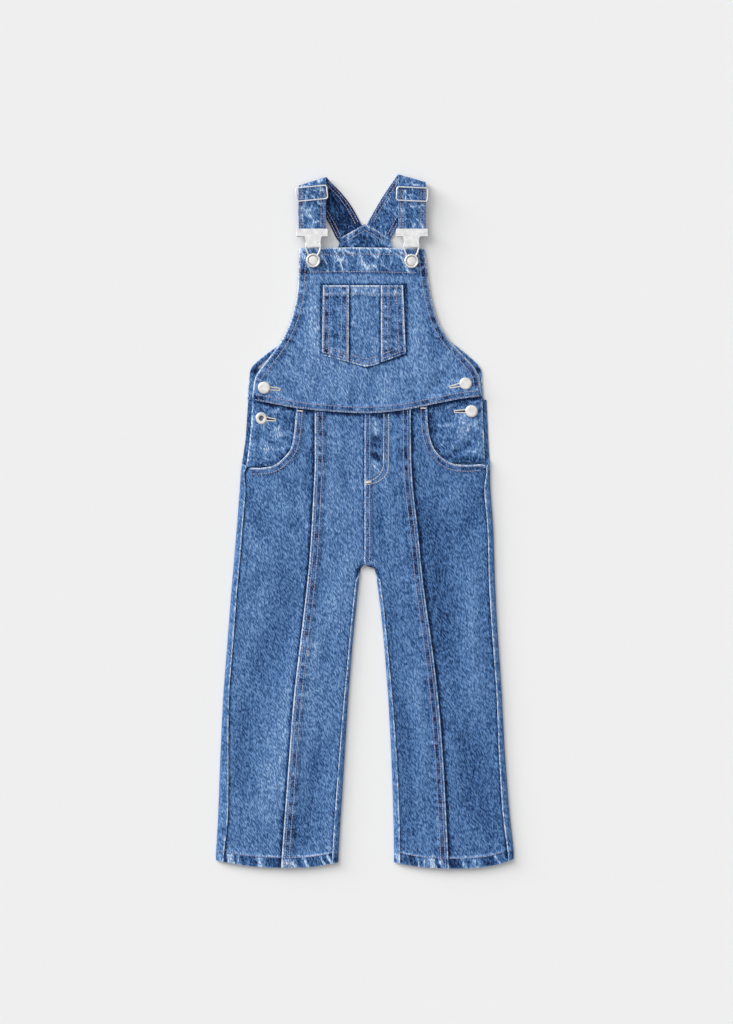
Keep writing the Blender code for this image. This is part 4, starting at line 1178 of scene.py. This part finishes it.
def back_bib():
    """Seen from its wrong side: pale cloth inside the turned hems of the armholes."""
    made = panel("back_bib")
    loose(made, 111, 0.08)
    made.z = np.maximum(made.z, 1.1)
    armhole = smooth((made.y - ARMHOLE_FOOT) / 4.0)
    made.wrong += armhole
    for side, (corner_x, corner_y) in ARMHOLE_CORNERS.items():
        away = made.away[side]
        waves = ripple(made.run[side], 7.0, 112)
        turned = band(away, BACK_HEM, 0.8)
        # Painted shade: a dark hollow where each armhole's corner opens, and a dark line just beyond
        # the turned hem's edge; the turned hems are darker above the armholes' foot
        hollow = hump(np.hypot((made.x - corner_x) * 0.8, made.y - corner_y), 5.5)
        line = 0.7 * hump(away - BACK_HEM - 0.8, 0.8)
        made.wrong *= (1.0 - turned) * (1.0 - smooth(hollow * 2.0))
        made.z += 0.8 * turned
        made.shade += armhole * (0.34 * turned + 1.1 * hollow + line) + 0.3 * turned * clamp(-waves)
        made.wear += 0.85 * hump(away, 1.1) + 0.3 * turned * clamp(waves)
    rolled(made, ("left", "right"))
    shell(made, "back", floor=0.02)


FACING_TOP = (
    ("z", 0.25, "waves", 4.0, 4.0), ("wear", 0.95, "even", 0.5, 1.6),
    ("wear", 0.4, "crests", 4.0, 4.0), ("shade", 0.35, "troughs", 4.0, 4.0),
)


def back_facing():
    made = panel("back_facing")
    loose(made, 117, 0.1)
    bumps(made, "top", FACING_TOP, ripple(made.run["top"], 6.0, 118))
    made.shade += 0.2 + 0.7 * smooth((335.0 - made.y) / 12.0)
    crinkle(made, 0.8, 119)
    rolled(made, ("top",))
    cloth = shell(made, "strap")
    side_rows(cloth, made, "top", (1.8, 6.8))


# ---------------------------------------------------------------- straps

# The straps' path repeats the CAD's. Tilt is the fold line's in degrees, hand the side of the body, bow
# how far the back half bends aside; the last two are the share of its wear that the back half loses in
# its painted shadow, and how dark that painted shadow makes it
Strap = namedtuple("Strap", "middle fold_y tilt hand bow vein_angle dulled shade")
STRAPS = {
    "l": Strap(-63.05, 401.43, 17.5, -1.0, 4.0, 84.0, 0.62, 0.75),
    "r": Strap(56.65, 405.23, 15.5, 1.0, 1.5, 98.0, 0.2, 0.08),
}
BOW_LENGTH = 66.0
STRAP_WIDTH = 33.0
STRAP = 1.5              # thickness
STRAP_ROWS = (2.2, 5.8)  # stitch rows from each edge
STRAP_STEP = 1.3         # between points across
FOLD_RADIUS = 5.0
BAR = (345.23, 6.5)      # y and height of the buckle's bar
TURN_RADIUS = 2.1        # round the bar
STRAP_RETURN = 395.2     # y where the turned-back end stops
RETURN_RISE = 1.8
STRAP_FLOOR = 0.8        # height of the middle plane on the surface, and on the back
STRAP_ON_BACK = 2.3
NECK_ANGLE = 30.0        # of the facing's edges
NECK_APEX = (2.05, 357.53)
RAMP = (12.0, 2.5)       # distances from the facing between which the strap climbs
STRAP_END = (-8.5, -2.5) # distances past the facing's edge of its outer and inner corner
LOWEST = 0.02


def neck_distance(x, y, hand):
    """Distance from the facing's edge on one side of the neck, above 0 outside it."""
    slope = math.radians(NECK_ANGLE)
    return (y - NECK_APEX[1]) * math.cos(slope) + hand * (x - NECK_APEX[0]) * math.sin(slope)


def strap_point(side, across, run):
    """Point on the strap's middle plane; run counts from the bar up the front and over."""
    middle, fold_y, degrees, hand, bow = STRAPS[side][:5]
    tilt, turn = math.radians(degrees), math.radians(2 * degrees)
    along = np.array((-hand * math.cos(tilt), math.sin(tilt)))
    normal = np.array((hand * math.sin(tilt), math.cos(tilt)))
    fold = np.array((middle, fold_y))
    flat = np.array((middle + across, BAR[0] + run)) - fold
    a, past = flat.dot(along), flat.dot(normal)
    if past <= 0.0:
        low, high = BAR[1] + TURN_RADIUS, STRAP_FLOOR + 2 * FOLD_RADIUS
        share = min(max(run / (fold_y - BAR[0] - 6.0), 0.0), 1.0)
        return middle + across, BAR[0] + run, low + (high - low) * share
    if past <= math.pi * FOLD_RADIUS:
        spot = fold + along * a + normal * FOLD_RADIUS * math.sin(past / FOLD_RADIUS)
        return spot[0], spot[1], STRAP_FLOOR + FOLD_RADIUS * (1 + math.cos(past / FOLD_RADIUS))
    past -= math.pi * FOLD_RADIUS
    sideways = np.array((-hand * math.cos(turn), math.sin(turn)))
    spot = fold + along * a - normal * past
    spot = spot + sideways * bow * math.sin(math.pi * min(past / BOW_LENGTH, 1.0))
    lift = band(neck_distance(*spot, hand), RAMP[1], RAMP[0] - RAMP[1])
    return spot[0], spot[1], STRAP_FLOOR + (STRAP_ON_BACK - STRAP_FLOOR) * lift


def strap_length(side, across):
    """Run at which the strap ends under the facing."""
    hand = STRAPS[side].hand
    inner = 0.5 - hand * across / STRAP_WIDTH
    limit = STRAP_END[0] + (STRAP_END[1] - STRAP_END[0]) * inner
    run = 90.0
    while neck_distance(*strap_point(side, across, run)[:2], hand) >= limit:
        run += 0.5
    return run


def strap(side):
    """One sewn strip: turned back behind the buckle's bar, up, over and down the back."""
    facts, node = STRAPS[side], "strap_" + side
    seed = PIECES[node].seed
    half = STRAP_WIDTH / 2
    across = edge_shares(STRAP_WIDTH, STRAP_STEP) * STRAP_WIDTH - half
    start = [(y, BAR[1] - TURN_RADIUS + RETURN_RISE * (y - BAR[0]) / (STRAP_RETURN - BAR[0]))
             for y in np.linspace(STRAP_RETURN, BAR[0], 26)[:-1]]
    start += [(BAR[0] + TURN_RADIUS * math.cos(a), BAR[1] + TURN_RADIUS * math.sin(a))
              for a in np.radians(np.linspace(-90.0, -270.0, 13))]
    grid = []
    for u in across:
        points = [(facts.middle + u, y, z) for y, z in start]
        runs = np.linspace(0.8, strap_length(side, u), 190)
        grid.append(points + [strap_point(side, u, run) for run in runs])
    centre = np.array(grid).transpose(1, 0, 2)
    u, v = np.meshgrid(across, run_of(centre[:, len(across) // 2]))
    edge = half - np.abs(u)
    by_rows = hump(edge - 4.0, 2.5)
    crest = veins(u, v, facts.vein_angle, 20.0, 5.6, seed) * smooth(edge / 4.0)
    waves = ripple(v + 50.0 * (u > 0), 7.5, seed + 1)
    on_back = smooth((v - 138.0) / 10.0)
    thick = STRAP / 2 + 0.42 * (crest - 0.4) * smooth(edge / 3.0) + 0.25 * waves * by_rows
    shade = 0.4 * smooth((0.3 - crest) * 3.3) + 0.4 * clamp(-waves) * by_rows
    # Painted shadow on the back half, behind the fold
    shade += facts.shade * on_back
    # Stitch rows' grooves, with painted shade in them
    for distance in STRAP_ROWS:
        thick -= 0.25 * hump(edge - distance, 0.7)
        shade += 0.25 * hump(edge - distance, 0.8)
    rest = clamp(1.0 - edge / 0.7)
    thick = np.maximum(thick, 0.3) * np.sqrt(1.0 - rest ** 2 * 0.96)
    wear = 0.95 * (hump(edge, 0.8) + smooth((crest - 0.35) * 1.6)) + 0.5 * clamp(waves) * by_rows
    # The back half loses some of its wear and highlight in its painted shadow
    wear *= 1.0 - facts.dulled * on_back
    normal = inward(centre)
    outer = centre - normal * thick[..., None]
    under = centre + normal * np.minimum(thick, 0.8)[..., None]
    for face in (outer, under):
        face[..., 2] = np.maximum(face[..., 2], LOWEST)
    cloth = cloth_piece(node, outer, under, {"wear": wear, "shade": shade}, "strap")
    for distance in STRAP_ROWS:
        for u in (distance - half, half - distance):
            row(cloth, [strap_point(side, u, run)[:2] for run in np.linspace(6.0, 52.0, 24)])
            runs = np.linspace(76.0, strap_length(side, u) - 9.0, 60)
            back = [strap_point(side, u, run)[:2] for run in runs]
            row(cloth, [spot for spot in back
                        if facts.hand * (spot[0] - facts.middle) < -half - 0.8])


# ---------------------------------------------------------------- metal forms

def ring_faces(rings, sides, closed=False):
    """Quads between rings of points, and a cap at each end of rings that aren't closed."""
    faces = []
    for r in range(rings if closed else rings - 1):
        low, high = r * sides, (r + 1) % rings * sides
        for k in range(sides):
            j = (k + 1) % sides
            faces.append((low + k, low + j, high + j, high + k))
    if not closed:
        faces.append(tuple(reversed(range(sides))))
        faces.append(tuple(range((rings - 1) * sides, rings * sides)))
    return faces


def tube(path, radius, sides=12, closed=False):
    """Points and faces of a round wire along a path."""
    path = np.asarray(path, float)
    way = np.roll(path, -1, 0) - np.roll(path, 1, 0) if closed else np.gradient(path, axis=0)
    way /= np.linalg.norm(way, axis=1)[:, None]
    across = np.cross(way[0], (0.0, 0.0, 1.0) if abs(way[0][2]) < 0.9 else (0.0, 1.0, 0.0))
    angles = 2 * math.pi * np.arange(sides)[:, None] / sides
    rings = []
    for spot, along in zip(path, way):
        across = across - along * across.dot(along)
        across /= np.linalg.norm(across)
        up = np.cross(along, across)
        rings.append(spot + radius * (np.cos(angles) * across + np.sin(angles) * up))
    return np.vstack(rings), ring_faces(len(path), sides, closed)


def rounded(corners, radius, steps=5):
    """A polygon's outline with rounded corners."""
    corners = np.asarray(corners, float)
    outline = []
    for before, corner, after in zip(np.roll(corners, 1, 0), corners, np.roll(corners, -1, 0)):
        start, end = (corner + (other - corner) / np.linalg.norm(other - corner) * radius
                      for other in (before, after))
        for t in np.linspace(0.0, 1.0, steps):
            outline.append((1 - t) ** 2 * start + 2 * t * (1 - t) * corner + t * t * end)
    return np.array(outline)


def plate(outline, low, high, bevel):
    """A flat plate with rounded edges; its outline runs anticlockwise."""
    way = np.roll(outline, -1, 0) - np.roll(outline, 1, 0)
    inside = np.stack([-way[:, 1], way[:, 0]], axis=1) / np.linalg.norm(way, axis=1)[:, None]
    round_in = bevel * 0.29
    levels = ((bevel, low), (0.0, low + bevel), (0.0, high - bevel), (round_in, high - round_in),
              (bevel, high), (bevel * 2, high))
    points = [np.column_stack([outline + inside * inset, np.full(len(outline), z)])
              for inset, z in levels]
    return np.vstack(points), ring_faces(len(levels), len(outline))


def lathed(profile, rim, level, middle, segments=96, lobes=0, depth=0.0):
    """A round form from rows of radius and height above a level, foot first.

    A radius of 0 or less is measured from the rim. The rim may be lobed."""
    angles = 2 * math.pi * np.arange(segments) / segments
    points = []
    for radius, height in profile:
        radius = radius if radius > 0 else rim + radius
        lobe = depth * smooth((radius / rim - 0.72) / 0.2)
        size = radius * (1.0 + lobe * np.cos(lobes * angles))
        points.append(np.column_stack([middle[0] + size * np.cos(angles),
                                       middle[1] + size * np.sin(angles),
                                       np.full(segments, level + height)]))
    return np.vstack(points), ring_faces(len(profile), segments)


def joined(parts):
    points, faces = [], []
    for part_points, part_faces in parts:
        start = sum(len(p) for p in points)
        faces += [tuple(v + start for v in face) for face in part_faces]
        points.append(part_points)
    return np.vstack(points), faces


def mirrored(spots, middle):
    """A line of spots whose x is counted left from a middle, and back along its mirror image."""
    return ([(middle - reach, *rest) for reach, *rest in spots]
            + [(middle + reach, *rest) for reach, *rest in reversed(spots)])


def box_of(node):
    low, high = (np.array(corner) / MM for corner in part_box(node))
    return low, high, (low + high) / 2


def hardware(node, slot, parts, dulled=None):
    """One metal piece; the given function says how dark the painted shade makes its sunk parts."""
    points, faces = joined(parts)
    marks = {"shade": dulled(points)} if dulled else None
    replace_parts(to_mesh(node + "_metal", points, faces, slot, marks), node)


# ---------------------------------------------------------------- buckles, adjusters, buttons

WIRE = 1.0               # radius of the buckles' wire
WIRE_STEP = 0.706        # between the points of the loops' path
BAR_RADIUS = 0.85
LOOP_RADIUS = 4.6        # of the wire round the button's shank
PLATE = {"width": 38.0, "drop": 10.0, "thickness": 1.4, "corner": 1.3}
NECK = {"width": 20.0, "drop": 22.5, "waist": 1.1}
BEVEL = 0.45
SLIDER_TILT = {"l": 5.5, "r": -2.6}
SLIDER_SIZE = (36.8, 16.0, 3.0)   # width, height, corner radius
SLIDER_WIRE = 0.8
# The buttons' profiles, for lathed: the bib's from its foot, the sides' from their top
BIB_PROFILE = ((4.4, 0.0), (4.2, 0.5), (3.1, 0.7), (3.0, 3.4), (-1.2, 3.5), (-0.3, 3.8), (0.0, 4.4),
               (-0.35, 5.1), (-1.0, 5.45), (-1.8, 5.4), (-2.3, 5.0), (-2.55, 4.55), (-2.9, 4.45),
               (-3.4, 4.6), (-4.6, 4.85), (1.2, 5.0))
SIDE_PROFILE = ((2.2, -2.3), (-0.9, -2.25), (-0.2, -1.9), (0.0, -1.4), (-0.25, -0.8), (-0.9, -0.3),
                (-1.8, 0.0))
PLAIN_TOP = ((-3.0, -0.02), (3.0, -0.15), (1.2, -0.2))
SUNK_TOP = ((3.6, -0.1), (2.9, -0.5), (2.5, -1.1), (1.0, -1.0))


def buckle(side):
    """A pressed plate with a waisted neck, the strap's bar and the button's wire loop."""
    node = "buckle_" + side
    _, high, (x, _, _) = box_of(node)
    bx, by, bz = box_of("bib_button_" + side)[2]
    top, z = high[1:]
    half, neck = PLATE["width"] / 2, NECK["width"] / 2
    shoulder, foot = top - PLATE["drop"], top - NECK["drop"]
    wide = mirrored([(half, top), (half, shoulder)], x)
    narrow = mirrored([(neck, shoulder), (neck - NECK["waist"], (shoulder + foot) / 2),
                       (neck, foot)], bx)
    outline = rounded(wide[:2] + narrow + wide[2:], PLATE["corner"])
    reach, (bar_y, bar_z) = half - BAR_RADIUS, BAR
    bar = mirrored([(reach, bar_y, z - 0.7), (reach, bar_y, bar_z + 0.8),
                    (reach - 0.8, bar_y, bar_z)], x)
    loop_z = bz - 0.4
    wire = mirrored([(8.0, foot + 5.0, z - 0.8), (8.6, foot, z - 1.2), (7.2, by + 10.4, loop_z + 1.3)],
                    bx)
    wire[3:3] = [(bx + LOOP_RADIUS * math.cos(turn), by + LOOP_RADIUS * math.sin(turn), loop_z)
                 for turn in np.radians(np.linspace(150.0, 390.0, 13))]
    parts = [plate(outline, z - PLATE["thickness"], z, BEVEL), tube(bar, BAR_RADIUS),
             tube(through(wire, WIRE_STEP), WIRE)]

    # Painted shadow under the plate's shoulders
    def under_shoulders(points):
        off = points[:, 1] - shoulder
        aside = np.abs(points[:, 0] - bx) > neck + 0.2
        return 0.9 * (aside & (off < BEVEL * 1.2) & (off > -1.0))

    hardware(node, "buckle", parts, under_shoulders)


def slider(side):
    """A wire frame on top of the strap, and its bar below."""
    node = "slider_" + side
    low, high, middle = box_of(node)
    width, height, corner = SLIDER_SIZE
    half_x, half_y = width / 2, height / 2
    z, bar_z = high[2] - WIRE, low[2] + WIRE * 0.8
    flat = rounded([(half_x, half_y), (-half_x, half_y), (-half_x, -half_y), (half_x, -half_y)],
                   corner, 8)
    ring = np.column_stack([flat, np.full(len(flat), z)])
    bar = mirrored([(half_x, 0.0, z), (half_x, 0.0, bar_z + 0.9), (half_x - 0.9, 0.0, bar_z)], 0.0)
    cos, sin = (form(math.radians(SLIDER_TILT[side])) for form in (math.cos, math.sin))
    turn = np.array([[cos, sin, 0.0], [-sin, cos, 0.0], [0.0, 0.0, 1.0]])
    shift = np.array([middle[0], middle[1], 0.0])
    hardware(node, "buckle", [tube(ring @ turn + shift, SLIDER_WIRE, 14, closed=True),
                              tube(np.array(bar) @ turn + shift, SLIDER_WIRE)])


def bib_button(side):
    """A tack button with a scalloped rim round a sunk, blank middle."""
    node = "bib_button_" + side
    low, high, middle = box_of(node)
    rim = (high[0] - low[0]) / 2 * 0.985

    # Painted shade in the groove inside the rim
    def groove(points):
        radius = np.hypot(*(points - middle)[:, :2].T)
        return 0.8 * hump(radius - rim + 2.8, 0.5)

    hardware(node, "button", [lathed(BIB_PROFILE, rim, low[2], middle, 144, 16, 0.022)], groove)


def side_button(name):
    """A plain jeans button; the lower left one is sunk and leans towards its buttonhole."""
    node = "side_button_" + name
    low, high, middle = box_of(node)
    top = high[2]
    sunk = name == "low_l"
    profile = ((2.2, low[2] - top), *SIDE_PROFILE, *(SUNK_TOP if sunk else PLAIN_TOP))
    points, faces = lathed(profile, (high[0] - low[0]) / 2, top, middle)
    if sunk:
        head = smooth(points[:, 2] - (top - 3.4))
        x = points[:, 0] - middle[0]
        points[:, 2] -= head * (x * 0.13 + 0.9)
        points[:, 0] = middle[0] + x * (1.0 - 0.07 * head)

    # Painted shade in the sunk button's middle
    def hollow(spots):
        return sunk * smooth((3.4 - np.hypot(*(spots - middle)[:, :2].T)) / 0.8)

    hardware(node, "button", [(points, faces)], hollow)


# How each buttonhole runs from its button: node it is cut in, end's distance, slope in degrees
BUTTONHOLES = {
    "top_l": ("bib_front", 19.0, -6.0), "low_l": ("hip_panel_l", 17.0, -7.0),
    "top_r": ("bib_front", 19.0, 193.0), "low_r": ("hip_panel_r", 20.0, 181.0),
}


def buttonhole(name):
    """Two worked lips from under the button to a bar at the end, with a dark slit between, a thin plate
    of painted shade.
    """
    node, length, slope = BUTTONHOLES[name]
    cloth = bpy.data.objects[node + "_cloth"]
    middle = box_of("side_button_" + name)[2][:2]
    way = np.array((math.cos(math.radians(slope)), math.sin(math.radians(slope))))
    left = np.array((-way[1], way[0]))
    start, end = middle + way * 6.0, middle + way * length
    cross_stitches(cloth, start + left, end + left * 0.1, 0.1, 1.8)
    cross_stitches(cloth, end - left * 0.1, start - left, 0.1, 1.8)
    cross_stitches(cloth, end - left * 1.7, end + left * 1.7, -0.9, 0.9, 0.55)
    slit = rounded([start - left * 1.5, end - left * 0.4, end + left * 0.4, start + left * 1.5], 0.3)
    height = cad_height(node, slit[:, :1], slit[:, 1:]).max()
    points, faces = plate(slit, height - 0.3, height + 0.25, 0.08)
    # The slit: a thin navy plate of painted shade
    to_mesh("slit_" + name, points, faces, "thread", {"shade": 1.0})


# ---------------------------------------------------------------- floor, light, camera

VIEW_HEIGHT = 1.2288     # up the picture, at the surface, in metres
VIEW_MIDDLE = (0.00205, 0.01123)
CAMERA_HEIGHT = 3.4
SENSOR = 36.0
FLOOR_HALF = 4.0
# Where each light comes from in degrees from +X and up, its spread in degrees, and how strongly
# it lights the surface
Light = namedtuple("Light", "azimuth elevation spread irradiance")
LIGHTS = {
    "key": Light(138.0, 34.0, 42.0, 1.00),
    "top": Light(110.0, 76.0, 100.0, 0.90),
    "rake": Light(152.0, 13.0, 22.0, 0.34),
}
AMBIENT = 0.29


def linked(name, data):
    """A new object in the scene."""
    made = bpy.data.objects.new(name, data)
    bpy.context.scene.collection.objects.link(made)
    return made


def stage():
    mesh = bpy.data.meshes.new("floor")
    corners = [(x * FLOOR_HALF, y * FLOOR_HALF, 0.0) for x, y in ((-1, -1), (1, -1), (1, 1), (-1, 1))]
    mesh.from_pydata(corners, [], [(0, 1, 2, 3)])
    mesh.materials.append(plain_floor())
    linked("floor", mesh)
    for name, facts in LIGHTS.items():
        a, e = math.radians(facts.azimuth), math.radians(facts.elevation)
        light = bpy.data.lights.new(name, "SUN")
        light.angle = math.radians(facts.spread)
        light.energy = facts.irradiance / math.sin(e)
        towards = Vector((math.cos(e) * math.cos(a), math.cos(e) * math.sin(a), math.sin(e)))
        linked(name, light).rotation_euler = towards.to_track_quat("Z", "Y").to_euler()
    world = bpy.data.worlds.new("studio")
    world.use_nodes = True
    background = world.node_tree.nodes["Background"]
    background.inputs["Color"].default_value = (1.0, 1.0, 1.0, 1.0)
    background.inputs["Strength"].default_value = AMBIENT
    bpy.context.scene.world = world
    bpy.context.scene.view_settings.view_transform = "Standard"
    camera = bpy.data.cameras.new("camera")
    camera.sensor_width = SENSOR
    camera.lens = SENSOR * CAMERA_HEIGHT / VIEW_HEIGHT
    holder = linked("camera", camera)
    holder.location = (*VIEW_MIDDLE, CAMERA_HEIGHT)
    bpy.context.scene.camera = holder


# ---------------------------------------------------------------- the whole garment

for side in ("l", "r"):
    back_leg(side)
    hip_panel(side)
    front_centre(side)
    front_side(side)
back_bib()
bib_front()
for node in ("pocket_side_l", "pocket_centre", "pocket_side_r"):
    pocket_piece(node)
back_facing()
for side in ("l", "r"):
    strap(side)
for side in ("l", "r"):
    buckle(side)
    slider(side)
    bib_button(side)
for name in BUTTONHOLES:
    side_button(name)
    buttonhole(name)
sew()
stage()
